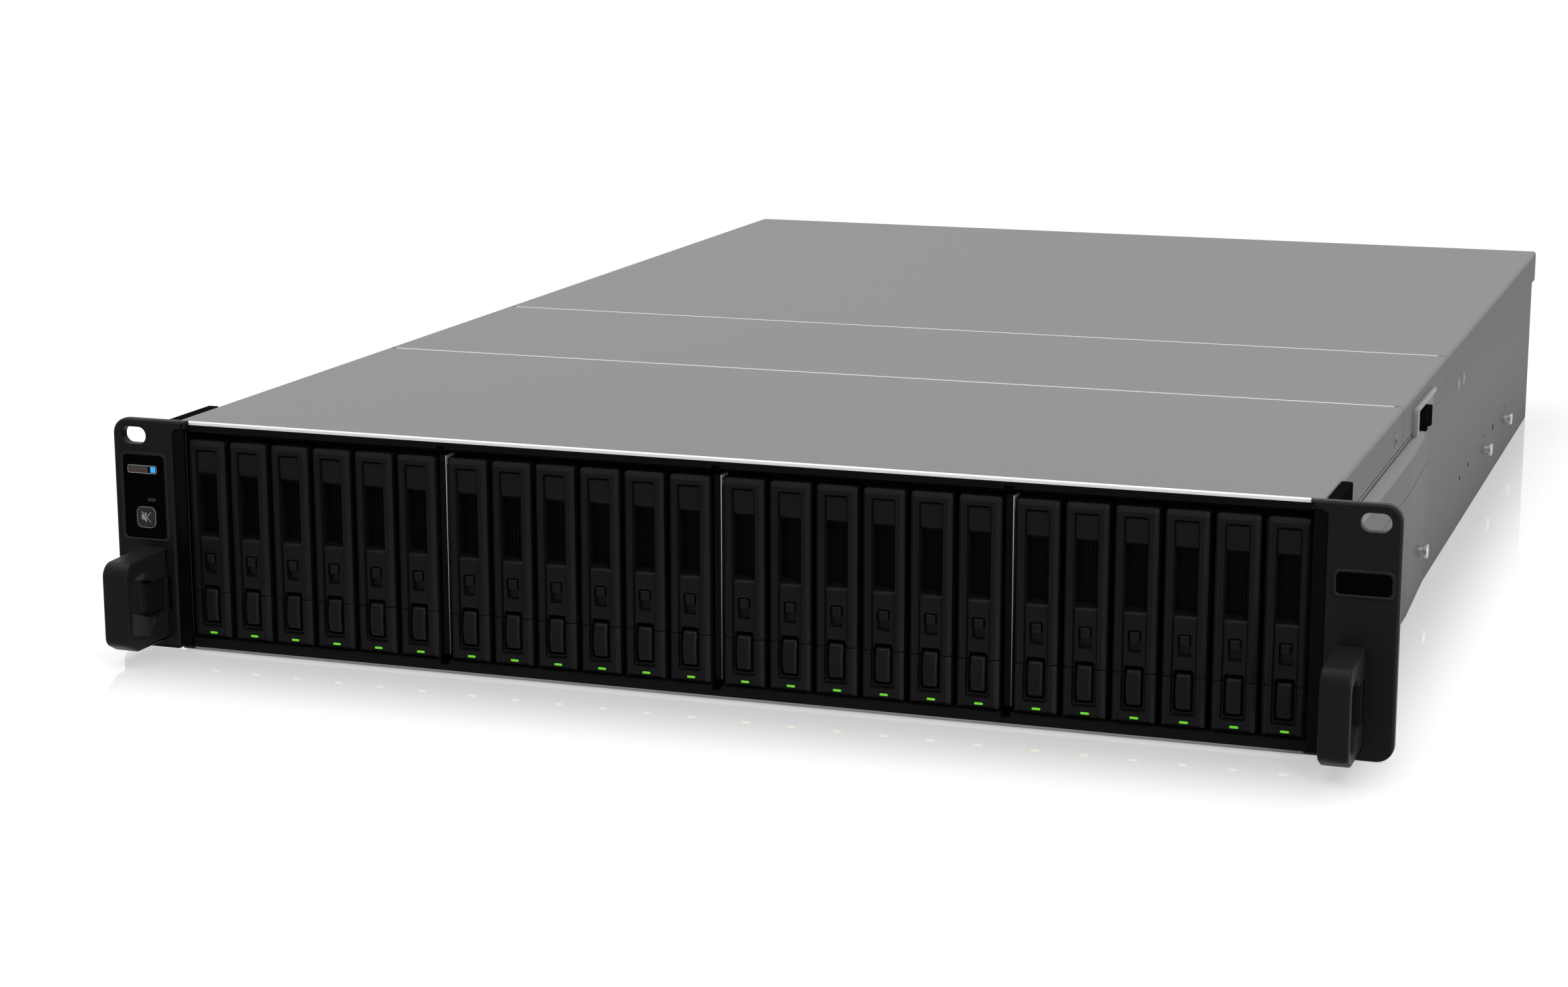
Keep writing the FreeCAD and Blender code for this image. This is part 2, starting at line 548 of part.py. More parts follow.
ring = rotor.newObject("PartDesign::PolarPattern", "Blades")
ring.Originals = [one_blade]
ring.Axis = (origin_item(rotor, "Z_Axis"), [""])
ring.Angle = 360
ring.Occurrences = 5
rotor.Tip = ring
shaft_bore = circle(sketch(rotor, "shaft_bore", "XY_Plane"), "0", "0", "2")
pocket(rotor, shaft_bore, "3", flip=True, name="ShaftBore")
frames = []
for k in range(4):
    x = f"{k - 1.5}*fan_pitch"
    frames.append(place(group(f"frame_{k + 1}", [fan_frame]), x, "front_y + fan_y", "sheet + fan_size/2"))
    spun = group(f"fan_rotor_{k + 1}", [rotor])
    node(place(spun, x, "front_y + fan_y + 5", "sheet + fan_size/2", Rotation(Vector(1, 0, 0), -90)))
node(group("fan_frames", frames))

# ---------------------------------------------------------------- power supplies
# Each has a recessed mains inlet, a pull of square section and an exhaust grille.

supply = body("supply")
case = rect(sketch(supply, "case", "XZ_Plane"), "0", "psu_wide", "0", "psu_high")
pad(supply, case, "psu_long", flip=True, name="Case")
inlet = rect(sketch(supply, "inlet", "XZ_Plane", "-psu_long"), "8", "33", "10.5", "27.5")
pocket(supply, inlet, "14", flip=True, name="Inlet")
lattice = sketch(supply, "lattice", "XZ_Plane", "-psu_long")
for k in range(5):
    rect(lattice, f"{40 + 6*k}", f"{43 + 6*k}", "8", "32")
pocket(supply, lattice, "6", flip=True, name="Exhaust")
loop = outline(sketch(supply, "loop", "YZ_Plane", "74"), [
    ("psu_long - 1", "5"), ("psu_long + psu_reach - 6", "5"), ("psu_long + psu_reach", "11"),
    ("psu_long + psu_reach", "28.6"), ("psu_long + psu_reach - 6", "34.6"), ("psu_long - 1", "34.6")])
rect(loop, "psu_long", "psu_long + psu_reach - 5", "10", "29.6")
pad(supply, loop, "6", name="Pull")
for label, z in (("psu_lower", "2.4"), ("psu_upper", "44.4")):
    node(place(group(label, [supply]), "psu_left", "front_y + shell_depth - psu_long", z))

# ---------------------------------------------------------------- expander module
module = node(body("expander_module"))
plate = rect(sketch(module, "plate", "XZ_Plane"), "-100", "40", "4", "42")
pad(module, plate, "1.6", flip=True, name="Plate")
shell = rect(sketch(module, "shell", "XZ_Plane"), "-98", "38", "5", "41")
pad(module, shell, "170", name="Shell")
port = rect(sketch(module, "port", "XZ_Plane", "-1.6"), "-88", "-66", "13", "23")
first_port = pocket(module, port, "16", flip=True, name="Port")
ports = module.newObject("PartDesign::LinearPattern", "Ports")
ports.Originals = [first_port]
ports.Direction = (port, ["H_Axis"])
ports.Length = 96
ports.Occurrences = 4
module.Tip = ports
place(module, "0", "front_y + shell_depth", "0")

# ---------------------------------------------------------------- rack ears
# A plate with a rack slot, a rim round its label recess, an opening for the latch and
# a wing that is screwed to the chassis side.

def make_ear(side, mark, plate_x, plate_z, plate_w, plate_t):
    made = node(body(f"{side}_ear"))
    m = f"{mark}*"
    face = outline(sketch(made, "face", "XZ_Plane", "-ear_face"), [
        (m + "ear_inner", "0.1"), (m + "(rack_width/2)", "0.1"), (m + "(rack_width/2)", "unit_height"),
        (m + "ear_tab", "unit_height"), (m + "ear_tab", "85"), (m + "ear_inner", "85")])
    pad(made, face, "ear_thick", flip=True, name="Plate")
    at = lambda b, x: near(b.XMin, m + x)
    dress(made, "Fillet", "6", lambda b, e: along(b, "Y") and at(b, "(rack_width/2)"), "OuterCorners")
    outer = lambda b, e: near(b.YMax, "ear_face") and (
        at(b, "(rack_width/2)") or (near(b.ZMin, 0.1) or near(b.ZMax, "unit_height")) and b.XLength > 5.5)
    dress(made, "Chamfer", "1", outer, "FrontBevel")
    raised = rect(sketch(made, "raised", "XZ_Plane", "-ear_face"), f"{plate_x} - {plate_w}/2 - rim",
                  f"{plate_x} + {plate_w}/2 + rim", f"{plate_z} - {plate_t}/2 - rim", f"{plate_z} + {plate_t}/2 + rim")
    pad(made, raised, "0.5", name="Rim")
    recess = rect(sketch(made, "recess", "XZ_Plane", "-ear_face + 0.5"), f"{plate_x} - {plate_w}/2",
                  f"{plate_x} + {plate_w}/2", f"{plate_z} - {plate_t}/2", f"{plate_z} + {plate_t}/2")
    pocket(made, recess, "plate_deep + 0.5", name="Recess")
    rim_edge = lambda b, e: along(b, "Y") and near(b.YMin, "ear_face - 0.5")
    dress(made, "Chamfer", "1.1", rim_edge, "RimCorners")
    slot = sketch(made, "slot", "XZ_Plane", "-ear_face + 1")
    rect(slot, m + "(slot_spacing/2) - slot_long/2", m + "(slot_spacing/2) + slot_long/2",
         "slot_level - slot_high/2", "slot_level + slot_high/2")
    pocket(made, slot, "ear_thick + 2", name="RackSlot")
    round_end = lambda b, e: along(b, "Y") and abs(b.XMin - size(m + "(slot_spacing/2)")) < size("slot_long/2 + 0.1") and (
        near(b.ZMin, "slot_level - slot_high/2") or near(b.ZMin, "slot_level + slot_high/2"))
    dress(made, "Fillet", "slot_high/2 - 0.01", round_end, "SlotEnds")
    gate = rect(sketch(made, "gate", "XZ_Plane", "-ear_face + 1"), m + "219.1", m + "227.4", "14.8", "28.1")
    pocket(made, gate, "ear_thick + 2", name="LatchGate")
    step = rect(sketch(made, "step", "XZ_Plane"), m + "(ear_tab - 1)", m + "(ear_inner - 0.1)", "84", "unit_height + 1")
    pocket(made, step, "ear_thick", name="TabStep")
    if side == "left":
        well = rect(sketch(made, "well", "XZ_Plane", "-ear_face"), "-232.5", "-224.1", "46.3", "54.8")
        pocket(made, well, "2.6", name="ButtonWell")
    wing = outline(sketch(made, "wing", "XY_Plane", "30"), [
        (m + "216.2", "1"), (m + "wing_out", "1"), (m + "wing_out", "31.5"), (m + "216.2", "31.5")])
    pad(made, wing, "41.2", name="Wing")
    lug = outline(sketch(made, "lug", "XY_Plane", "71"), [
        (m + "(shell_width/2 + 0.05)", "1"), (m + "wing_out", "1"), (m + "wing_out", "31.5"),
        (m + "(shell_width/2 + 0.05)", "31.5")])
    pad(made, lug, "17", name="UpperWing")
    return place(made, "0", "front_y", "0")


make_ear("left", -1, "panel_x", "panel_z", "panel_w", "panel_t")
make_ear("right", 1, "badge_x", "badge_z", "badge_w", "badge_t")

# ---------------------------------------------------------------- grips
# A moulded loop; its arms thicken towards the ear, so the finger opening is widest
# behind the front bar.

for side, mark in (("left", -1), ("right", 1)):
    grip = node(body(f"{side}_handle"))
    loop = sketch(grip, "loop", "YZ_Plane", f"{mark}*(grip_in + grip_out)/2")
    outline(loop, [("ear_face", "4.1"), ("grip_reach", "4.4"), ("grip_reach", "38.4"), ("ear_face", "39.4"),
                   ("ear_face", "28.3"), ("-12.5", "28.3"), ("-18.5", "33.4"), ("-28", "31.4"),
                   ("-28", "10.6"), ("-18.5", "8.7"), ("-12", "14.6"), ("ear_face", "14.6")])
    pad(grip, loop, "grip_out - grip_in", middle=True, name="Loop")
    dress(grip, "Fillet", "4.5", lambda b, e: along(b, "X") and b.YMax < size("grip_reach + 0.5"), "FrontBends")
    dress(grip, "Fillet", "1.6", lambda b, e: along(b, "X") and near(b.YMin, "-28"), "InnerBends")
    place(grip, "0", "front_y", "0")

# ---------------------------------------------------------------- rack latches
# The trigger stands in the finger opening and carries a hook behind the ear.

for side, mark in (("left", -1), ("right", 1)):
    hook = node(body(f"{side}_rack_latch"))
    mid = f"{mark}*(trigger_in + trigger_wide/2)"
    trace = sketch(hook, "trace", "YZ_Plane", mid)
    outline(trace, [("-12.3", "15.3"), ("13", "15.3"), ("13", "12"), ("15", "12"), ("19", "17"),
                    ("19", "22"), ("6", "24"), ("4", "27.6"), ("-12.3", "27.6")])
    pad(hook, trace, "trigger_wide", middle=True, name="Trigger")
    dress(hook, "Chamfer", "0.5", lambda b, e: along(b, "Z") and near(b.YMin, "-12.3"))
    place(hook, "0", "front_y", "0")

# ---------------------------------------------------------------- label plates and mute button
for label, x, z, w, t in (("control_panel", "panel_x", "panel_z", "panel_w", "panel_t"),
                          ("name_plate", "badge_x", "badge_z", "badge_w", "badge_t")):
    plate = node(body(label))
    shape = rect(sketch(plate, "shape", "XZ_Plane", "-ear_face - 0.1"), f"{x} - {w}/2 + 0.1", f"{x} + {w}/2 - 0.1",
                 f"{z} - {t}/2 + 0.1", f"{z} + {t}/2 - 0.1")
    pad(plate, shape, "plate_deep - 0.1", flip=True, name="Plate")
    dress(plate, "Chamfer", "1.1", lambda b, e: along(b, "Y"))
    if label == "control_panel":
        for name, low, high in (("ButtonHole", ("-232.7", "46.1"), ("-223.9", "55")),
                                ("AlertHole", ("-227.7", "56.7"), ("-224.1", "58")),
                                ("PowerHole", ("-235.7", "67.4"), ("-223.3", "70.3"))):
            hole = rect(sketch(plate, name, "XZ_Plane"), low[0], high[0], low[1], high[1])
            pocket(plate, hole, "4", middle=False, flip=True, name=name)
    place(plate, "0", "front_y", "0")
mute = node(body("mute_button"))
cap = rect(sketch(mute, "cap", "XZ_Plane", "-ear_face + 0.6"), "-232.3", "-224.3", "46.5", "54.6")
pad(mute, cap, "1.2", flip=True, name="Cap")
dress(mute, "Chamfer", "1.4", lambda b, e: along(b, "Y"))
place(mute, "0", "front_y", "0")

# ---------------------------------------------------------------- rail studs
# Shouldered studs that hang the shelf in its rails, three on each side.

stud = body("stud")
neck = outline(sketch(stud, "neck", "YZ_Plane"), ring_points("stud_rad", 6))
pad(stud, neck, "2.6", name="Neck")
head = outline(sketch(stud, "head", "YZ_Plane", "2.4"), ring_points("head_rad", 12))
pad(stud, head, "1.5", name="Head")
studs = []
for mark, turn in ((1, None), (-1, Rotation(Vector(0, 0, 1), 180))):
    for y in (241, 465, 548):
        reach = "swell_out - 1.4" if y < 260 else wall_out
        studs.append(place(group("rail_stud", [stud]), f"{mark}*({reach})", f"front_y + {y}", "17.6", turn))
node(group("rail_studs", studs))

# ---------------------------------------------------------------- check and write
doc.recompute()
for obj in doc.Objects:
    if {"Invalid", "Error"} & set(obj.State):
        raise RuntimeError(f"{obj.Label} failed: {obj.State}")
for obj in nodes:
    if obj.Shape.isNull() or not obj.Shape.isValid() or not obj.Shape.Solids:
        raise RuntimeError(f"{obj.Label} has no valid solid")

os.makedirs("parts", exist_ok=True)
for obj in nodes:
    obj.Shape.exportStep(f"parts/{obj.Label}.step")
box = FreeCAD.BoundBox()
for obj in nodes:
    box.add(obj.Shape.BoundBox)
print(len(nodes), "parts;", box)
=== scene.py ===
import math
import bmesh
import bpy
import numpy as np
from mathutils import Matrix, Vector
from mathutils.geometry import tessellate_polygon


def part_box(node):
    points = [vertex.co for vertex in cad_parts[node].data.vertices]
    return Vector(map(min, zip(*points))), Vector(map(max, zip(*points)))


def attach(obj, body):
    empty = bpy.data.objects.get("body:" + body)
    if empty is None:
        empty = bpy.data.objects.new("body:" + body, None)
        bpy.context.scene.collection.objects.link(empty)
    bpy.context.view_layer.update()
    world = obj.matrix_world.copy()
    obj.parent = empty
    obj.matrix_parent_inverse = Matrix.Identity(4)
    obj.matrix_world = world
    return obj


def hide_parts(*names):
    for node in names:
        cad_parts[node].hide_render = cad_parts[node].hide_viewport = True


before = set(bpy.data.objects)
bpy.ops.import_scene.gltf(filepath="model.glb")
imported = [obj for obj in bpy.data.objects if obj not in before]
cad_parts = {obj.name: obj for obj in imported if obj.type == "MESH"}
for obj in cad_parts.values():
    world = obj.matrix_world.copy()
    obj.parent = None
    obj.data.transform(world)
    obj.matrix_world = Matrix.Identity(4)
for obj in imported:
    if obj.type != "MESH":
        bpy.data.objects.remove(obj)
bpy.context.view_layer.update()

# ---------------------------------------------------------------- tray fronts
# Each bay is closed by a moulded front in two parts: a hinged lever with a sunken middle
# strip, an air window and a lock slide, and below it the foot of the tray with the press
# button and the lamp. All of it is black glass-filled plastic with a fine spark texture.

MM = 0.001
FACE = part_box("front_cover")[0].y / MM            # front edge of the cover, the trays' face plane
BAYS = [(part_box(f"tray_{n:02d}")[0].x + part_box(f"tray_{n:02d}")[1].x) / 2 / MM for n in range(1, 25)]
HALF = 7.5                                         # half width of a tray front
SEAM = 22.8                                        # parting line of lever and foot
LEVER_TOP, FOOT_LOW = 80.8, 5.2
STRIP_HALF, STRIP_LOW, STRIP_TOP, STRIP_DEEP = 4.25, 9.4, 77.3, 0.8
STRIP_MID, STRIP_TALL = (STRIP_LOW + STRIP_TOP) / 2, (STRIP_TOP - STRIP_LOW) / 2
GROOVE_DEEP = 0.45                                 # fine groove round the strip
CHAMFER_WIDE, CHAMFER_DEEP = 1.5, 1.2
WINDOW_DEEP, LOCK_DEEP, WELL_DEEP = 5.7, 1.8, 4.0
WELL_MID, BUTTON_MID, LOCK_MID = 18, 17.55, 35.4   # heights of the button's well, the button and the lock pad
BUTTON_HALF, BUTTON_TALL, LOCK_HALF, LOCK_TALL = 2.55, 6.25, 1.7, 1.8
LENS_X, LENS_Z, LENS_HALF, LENS_TALL = 0.6, 7.1, 1.55, 0.42
CARRIER_BACK = 118                                 # depth of the drive carrier
PIN_Y, PIN_Z = 4.2, 76.4                           # axis of the lever


def step(v, at, soft):
    """Rises smoothly from 0 to 1 as v passes at, over twice soft."""
    t = np.clip((v - at) / (2 * soft) + 0.5, 0, 1)
    return t * t * (3 - 2 * t)


def hollow(x, z, cx, cz, hx, hz, r, soft=0.12):
    """1 inside a rounded rectangle, 0 outside, by the distance to its outline."""
    qx, qz = np.abs(x - cx) - hx + r, np.abs(z - cz) - hz + r
    away = np.hypot(np.maximum(qx, 0), np.maximum(qz, 0)) + np.minimum(np.maximum(qx, qz), 0) - r
    return step(-away, 0, soft)


def bevel(away, width, drop):
    """A chamfer with a slightly eased shoulder: drops by (1 - away/width)^1.15 towards the edge."""
    return drop * (1 - np.clip(away / width, 0, 1)) ** 1.15


def stops(*edges, soft=0.15, ends=()):
    """Grid lines that follow each moulded edge closely, and the plain ends."""
    near = np.add.outer(np.array(edges, float), soft * np.array([-1, -0.45, 0, 0.45, 1])).ravel()
    return np.unique(np.round(np.concatenate([near, np.array(ends, float)]), 4))


def relief(xs, zs, depth, back, corner=0.0, low_corner=False):
    """A moulded face: the grid point (x, z) lies depth(x, z) behind the face plane. Corner squares
    are turned into quarter rounds, point by point: v * max(v) / |v|. The rim runs straight back."""
    x, z = np.meshgrid(xs, zs)
    y = depth(x, z)
    if corner:
        cz = [zs[-1] - corner] + ([zs[0] + corner] if low_corner else [])
        for side in (-1, 1):
            cx = (xs[-1] if side > 0 else xs[0]) - side * corner
            for up, c in zip((1, -1), cz):
                u, v = (x - cx) * side, (z - c) * up
                inside = (u > 0) & (v > 0)
                k = np.where(inside, np.maximum(u, v) / np.maximum(np.hypot(u, v), 1e-9), 1)
                x, z = np.where(inside, cx + side * u * k, x), np.where(inside, c + up * v * k, z)
    rows, cols = x.shape
    index = np.arange(rows * cols).reshape(rows, cols)
    quads = np.stack([index[:-1, :-1], index[:-1, 1:], index[1:, 1:], index[1:, :-1]], -1).reshape(-1, 4)
    rim = np.concatenate([index[0, :-1], index[:-1, -1], index[-1, :0:-1], index[:0:-1, 0]])
    front = np.stack([x, y, z], -1).reshape(-1, 3)
    rear = front[rim].copy()
    rear[:, 1] = back
    far = rows * cols + np.arange(len(rim))
    walls = np.stack([rim, far, np.roll(far, -1), np.roll(rim, -1)], -1)
    return np.concatenate([front, rear]), quads.tolist() + walls.tolist() + [far.tolist()]


def prism(outline, low, high, axis="x"):
    """A straight bar: the flat outline at its low and high end, joined by sides.
    The outline is (y, z) for a bar along x, (x, z) along y and (x, y) along z."""
    outline = np.array(outline, float)
    n = len(outline)
    flat = {"x": [1, 2, 0], "y": [0, 2, 1], "z": [0, 1, 2]}[axis]
    points = np.zeros((2 * n, 3))
    points[:, flat[:2]] = np.tile(outline, (2, 1))
    points[:n, flat[2]], points[n:, flat[2]] = low, high
    i = np.arange(n)
    sides = np.stack([i, (i + 1) % n, (i + 1) % n + n, i + n], -1)
    return points, sides.tolist() + [i.tolist(), (i[::-1] + n).tolist()]


def brick(x, y, z, cut=0.0):
    """A block between three pairs of limits, its four edges along x cut back."""
    square = [(y[0], z[0]), (y[1], z[0]), (y[1], z[1]), (y[0], z[1])]
    eight = [(y[0] + cut, z[0]), (y[1] - cut, z[0]), (y[1], z[0] + cut), (y[1], z[1] - cut),
             (y[1] - cut, z[1]), (y[0] + cut, z[1]), (y[0], z[1] - cut), (y[0], z[0] + cut)]
    return prism(eight if cut else square, x[0], x[1])


def circle(across, up, r, sides, start=0.0):
    """An even polygon of radius r round (across, up)."""
    a = np.arange(sides) * 2 * math.pi / sides + start
    return np.stack([across + r * np.cos(a), up + r * np.sin(a)], -1)


def shift(part, x=0.0, y=0.0):
    """The same part, moved."""
    return part[0] + np.array([x, y, 0.0]), part[1]


def at_face(parts, x=0.0):
    """The same parts with y counted from the front edge of the cover, moved along x."""
    return [(shift(part, x, FACE), kind) for part, kind in parts]


def facets(part, test, plain, special):
    """A material number for each face: special where test(x, z) holds at its middle, else plain."""
    middles = np.array([part[0][f].mean(0) for f in part[1]])
    return np.where(test(middles[:, 0], middles[:, 2]), special, plain).tolist()


def make(name, parts, body, materials, replaced=(), angle=38):
    """One object from several closed parts, each ((points, faces), material number), in millimetres.
    It rides on a body, takes its finish from a slot and stands for the named solids."""
    points, faces, kinds, start = [], [], [], 0
    for (co, shape), kind in parts:
        points.append(co)
        faces += [[v + start for v in f] for f in shape]
        kinds += kind if isinstance(kind, list) else [kind] * len(shape)
        start += len(co)
    mesh = bpy.data.meshes.new(name)
    mesh.from_pydata((np.concatenate(points) * MM).tolist(), [], faces)
    for material in materials:
        mesh.materials.append(material)
    mesh.polygons.foreach_set("material_index", kinds)
    shell = bmesh.new()
    shell.from_mesh(mesh)
    bmesh.ops.recalc_face_normals(shell, faces=shell.faces)
    shell.to_mesh(mesh)
    shell.free()
    mesh.shade_smooth()
    mesh.set_sharp_from_angle(angle=math.radians(angle))
    piece = bpy.data.objects.new(name, mesh)
    bpy.context.scene.collection.objects.link(piece)
    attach(piece, body)
    if replaced:
        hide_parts(*replaced)
    return piece


def socket(tree, name, into, value=0.0):
    """Gives a node group one number to take in, with its usual value, or one to give out."""
    made = tree.interface.new_socket(name, in_out="INPUT" if into else "OUTPUT", socket_type="NodeSocketFloat")
    if into:
        made.default_value = value


def make_grain():
    """Fine and broad unevenness in the piece's own coordinates: two noises a given scale apart."""
    tree = bpy.data.node_groups.new("grain", "ShaderNodeTree")
    socket(tree, "Scale", True, 900.0)
    socket(tree, "Stretch", True, 1.0)
    socket(tree, "Fine", False)
    socket(tree, "Broad", False)
    add, link = tree.nodes.new, tree.links.new
    inlet, outlet, place = add("NodeGroupInput"), add("NodeGroupOutput"), add("ShaderNodeTexCoord")
    pull = add("ShaderNodeCombineXYZ")
    pull.inputs["X"].default_value = pull.inputs["Z"].default_value = 1.0
    longer = add("ShaderNodeVectorMath")
    longer.operation = "MULTIPLY"
    link(inlet.outputs["Stretch"], pull.inputs["Y"])
    link(place.outputs["Object"], longer.inputs[0])
    link(pull.outputs[0], longer.inputs[1])
    broad_scale = add("ShaderNodeMath")
    broad_scale.operation = "MULTIPLY"
    broad_scale.inputs[1].default_value = 0.03
    link(inlet.outputs["Scale"], broad_scale.inputs[0])
    for name, source, detail in (("Fine", inlet.outputs["Scale"], 3), ("Broad", broad_scale.outputs[0], 5)):
        noise = add("ShaderNodeTexNoise")
        noise.inputs["Detail"].default_value = detail
        link(longer.outputs[0], noise.inputs["Vector"])
        link(source, noise.inputs["Scale"])
        link(noise.outputs["Fac"], outlet.inputs[name])
    return tree


GRAIN = make_grain()


def finish(name, color, rough, metallic=0.0, scale=900.0, stretch=1.0, mottle=0.08, bump=0.03, uneven=0.06,
           specular=0.5, coat=0.0):
    """A surface with its own grain: colour and gloss wander a little, and the grain stands up by bump mm."""
    made = bpy.data.materials.new(name)
    made.use_nodes = True
    nodes, link = made.node_tree.nodes, made.node_tree.links.new
    bsdf = nodes["Principled BSDF"]
    bsdf.inputs["Metallic"].default_value = metallic
    bsdf.inputs["Specular IOR Level"].default_value = specular
    bsdf.inputs["Coat Weight"].default_value = coat
    grain = nodes.new("ShaderNodeGroup")
    grain.node_tree = GRAIN
    grain.inputs["Scale"].default_value = scale
    grain.inputs["Stretch"].default_value = stretch
    tint = nodes.new("ShaderNodeMix")
    tint.data_type = "RGBA"
    tint.inputs["A"].default_value = [c * (1 - mottle) for c in color] + [1]
    tint.inputs["B"].default_value = [c * (1 + mottle) for c in color] + [1]
    link(grain.outputs["Broad"], tint.inputs["Factor"])
    link(tint.outputs["Result"], bsdf.inputs["Base Color"])
    gloss = nodes.new("ShaderNodeMapRange")
    gloss.inputs["From Min"].default_value, gloss.inputs["From Max"].default_value = 0.3, 0.7
    gloss.inputs["To Min"].default_value, gloss.inputs["To Max"].default_value = rough - uneven, rough + uneven
    link(grain.outputs["Fine"], gloss.inputs["Value"])
    link(gloss.outputs["Result"], bsdf.inputs["Roughness"])
    raised = nodes.new("ShaderNodeBump")
    raised.inputs["Distance"].default_value = bump * MM
    raised.inputs["Strength"].default_value = 0.6
    link(grain.outputs["Fine"], raised.inputs["Height"])
    link(raised.outputs["Normal"], bsdf.inputs["Normal"])
    return made


def lamp_finish(name, color, strength):
    """A lit lens: its own colour, given off evenly as light."""
    made = finish(name, color, 0.25, scale=2500, mottle=0.05, bump=0.01)
    bsdf = made.node_tree.nodes["Principled BSDF"]
    bsdf.inputs["Emission Color"].default_value = (*color, 1)
    bsdf.inputs["Emission Strength"].default_value = strength
    return made


moulding = finish("black_moulding", (0.0098, 0.0098, 0.0102), 0.38, scale=1600, bump=0.008, mottle=0.12, uneven=0.03,
                  specular=0.07)
# painted shade: a near-black copy of the plastic for the tray carriers, the air window's slats and liner and the drive
# cage, darker than the moulding so that gaps and openings read as shadow
shadow_plastic = finish("painted_shade_black", (0.0022, 0.0022, 0.0023), 0.6, scale=1200, bump=0.02, specular=0.05)
green_lamp = lamp_finish("green_lamp", (0.1, 0.46, 0.006), 0.85)
alloy = finish("drive_casting", (0.52, 0.53, 0.54), 0.38, 0.9, scale=500, bump=0.03)
board_green = finish("drive_board", (0.02, 0.12, 0.05), 0.45, scale=700, bump=0.05)
# painted highlight: a lighter copy of the moulding for the chamfers of lever and foot, the lower lip of the air window
# and the button's right side and top
facet_highlight_black = finish("painted_highlight_facet", (0.0155, 0.0155, 0.016), 0.34, scale=1600, bump=0.004, mottle=0.08, uneven=0.03,
                     specular=0.08)
TRAY_LOOKS = [moulding, green_lamp, shadow_plastic, alloy, board_green, facet_highlight_black]


def strip_shape(x, z, grow, r, soft=0.12):
    """1 inside the middle strip's outline, made larger by grow, 0 outside."""
    return hollow(x, z, 0, STRIP_MID, STRIP_HALF + grow, STRIP_TALL + grow, r, soft)


def sunken_strip(x, z, r, outer, inner):
    """Depth of the middle strip, corner radius r, and of the fine groove between two outlines."""
    groove = strip_shape(x, z, 0.1, outer, 0.07) - strip_shape(x, z, -0.25, inner, 0.07)
    return GROOVE_DEEP * groove + STRIP_DEEP * strip_shape(x, z, 0, r)


def lever_depth(x, z):
    """Side and top chamfers, the middle strip, the air window with curved lips, the lock well and
    the notch that clears the button, each added to the depth."""
    y = bevel(np.minimum(HALF - np.abs(x), (LEVER_TOP - z) * 0.8), CHAMFER_WIDE, CHAMFER_DEEP)
    y += bevel(z - SEAM - 0.15, 0.3, 0.2) + sunken_strip(x, z, 0.6, 0.7, 0.5)
    lower_lip, upper_lip = np.clip((z - 43.0) / 2.3, 0, 1) ** 2.4, np.clip((68.8 - z) / 2.6, 0, 1) ** 1.8
    window = np.where(z < 55, lower_lip, upper_lip) * (1 - step(np.abs(x), 4.05, 0.15))
    lock = hollow(x, z, 0, 33.75, 2.3, 3.85, 0.9)
    notch = hollow(x, z, 0, WELL_MID, 3.3, 7.2, 0.9)
    return y + WINDOW_DEEP * window + LOCK_DEEP * lock + WELL_DEEP * notch


def foot_depth(x, z):
    """Side and lower chamfers, the end of the strip and the button's well."""
    y = bevel(np.minimum(HALF - np.abs(x), (z - FOOT_LOW) * 0.9), CHAMFER_WIDE, CHAMFER_DEEP)
    y += bevel(SEAM - 0.15 - z, 0.3, 0.2) + sunken_strip(x, z, 0.9, 0.9, 0.7)
    return y + WELL_DEEP * hollow(x, z, 0, WELL_MID, 3.3, 7.3, 0.9)


def button_depth(x, z):
    """A pad that bulges by the square of the way along it, with soft edges all round."""
    along = (z - BUTTON_MID) / BUTTON_TALL
    edge = np.minimum(BUTTON_HALF - np.abs(x), BUTTON_TALL - np.abs(z - BUTTON_MID))
    return -0.7 + 1.15 * along ** 2 + bevel(edge, 0.6, 0.55) + 0.05 * x ** 2 / 6


def lock_depth(x, z):
    """A square thumb pad with a raised bar along its lower end."""
    edge = np.minimum(LOCK_HALF - np.abs(x), LOCK_TALL - np.abs(z - LOCK_MID))
    bar = hollow(x, z, 0.1, 34.35, 1.25, 0.22, 0.2, 0.08)
    return 0.35 + bevel(edge, 0.5, 0.4) - 0.22 * bar


def lens_depth(x, z):
    """A low pillow with rounded corners."""
    return 0.15 - 0.3 * hollow(x, z, LENS_X, LENS_Z, LENS_HALF, LENS_TALL, 0.3, 0.1)


cross = stops(-4.18, -3.3, -2.3, 2.3, 3.3, 4.18, soft=0.2,
              ends=[-7.5, -7.3, -6.75, -6.2, -6.05, -5.9, -5.2, -1.4, 0, 1.4, 5.2, 5.9, 6.05, 6.2, 6.75, 7.3, 7.5])
lever_up = stops(25.2, 29.9, 37.6, STRIP_TOP, soft=0.18,
                 ends=[22.95, 23.1, 23.3, 24.4, 24.7, 30.6, 36.9, 43, 43.6, 44.1, 44.5, 44.8, 45.05, 45.3, 50, 60,
                       66.1, 66.5, 67, 67.6, 68.2, 68.8, 76.6, 78.3, 78.75, 78.95, 79.2, 79.9, 80.5, 80.8])
foot_up = stops(STRIP_LOW, 10.7, soft=0.18,
                ends=[5.2, 5.4, 6.1, 6.7, 6.87, 7.05, 7.7, 10.1, 11.4, 11.7, 22.3, 22.5, 22.65])
small = np.array([-1, -0.96, -0.88, -0.76, -0.5, 0, 0.5, 0.76, 0.88, 0.96, 1])
button_up = BUTTON_MID + BUTTON_TALL * np.sort(np.append(small, [-0.25, 0.25, -0.92, 0.92]))
lever_front = relief(cross, lever_up, lever_depth, 6.6, corner=1.3)
foot_front = relief(cross, foot_up, foot_depth, 7.4)
button = relief(BUTTON_HALF * small, button_up, button_depth, 5.0, corner=0.5, low_corner=True)
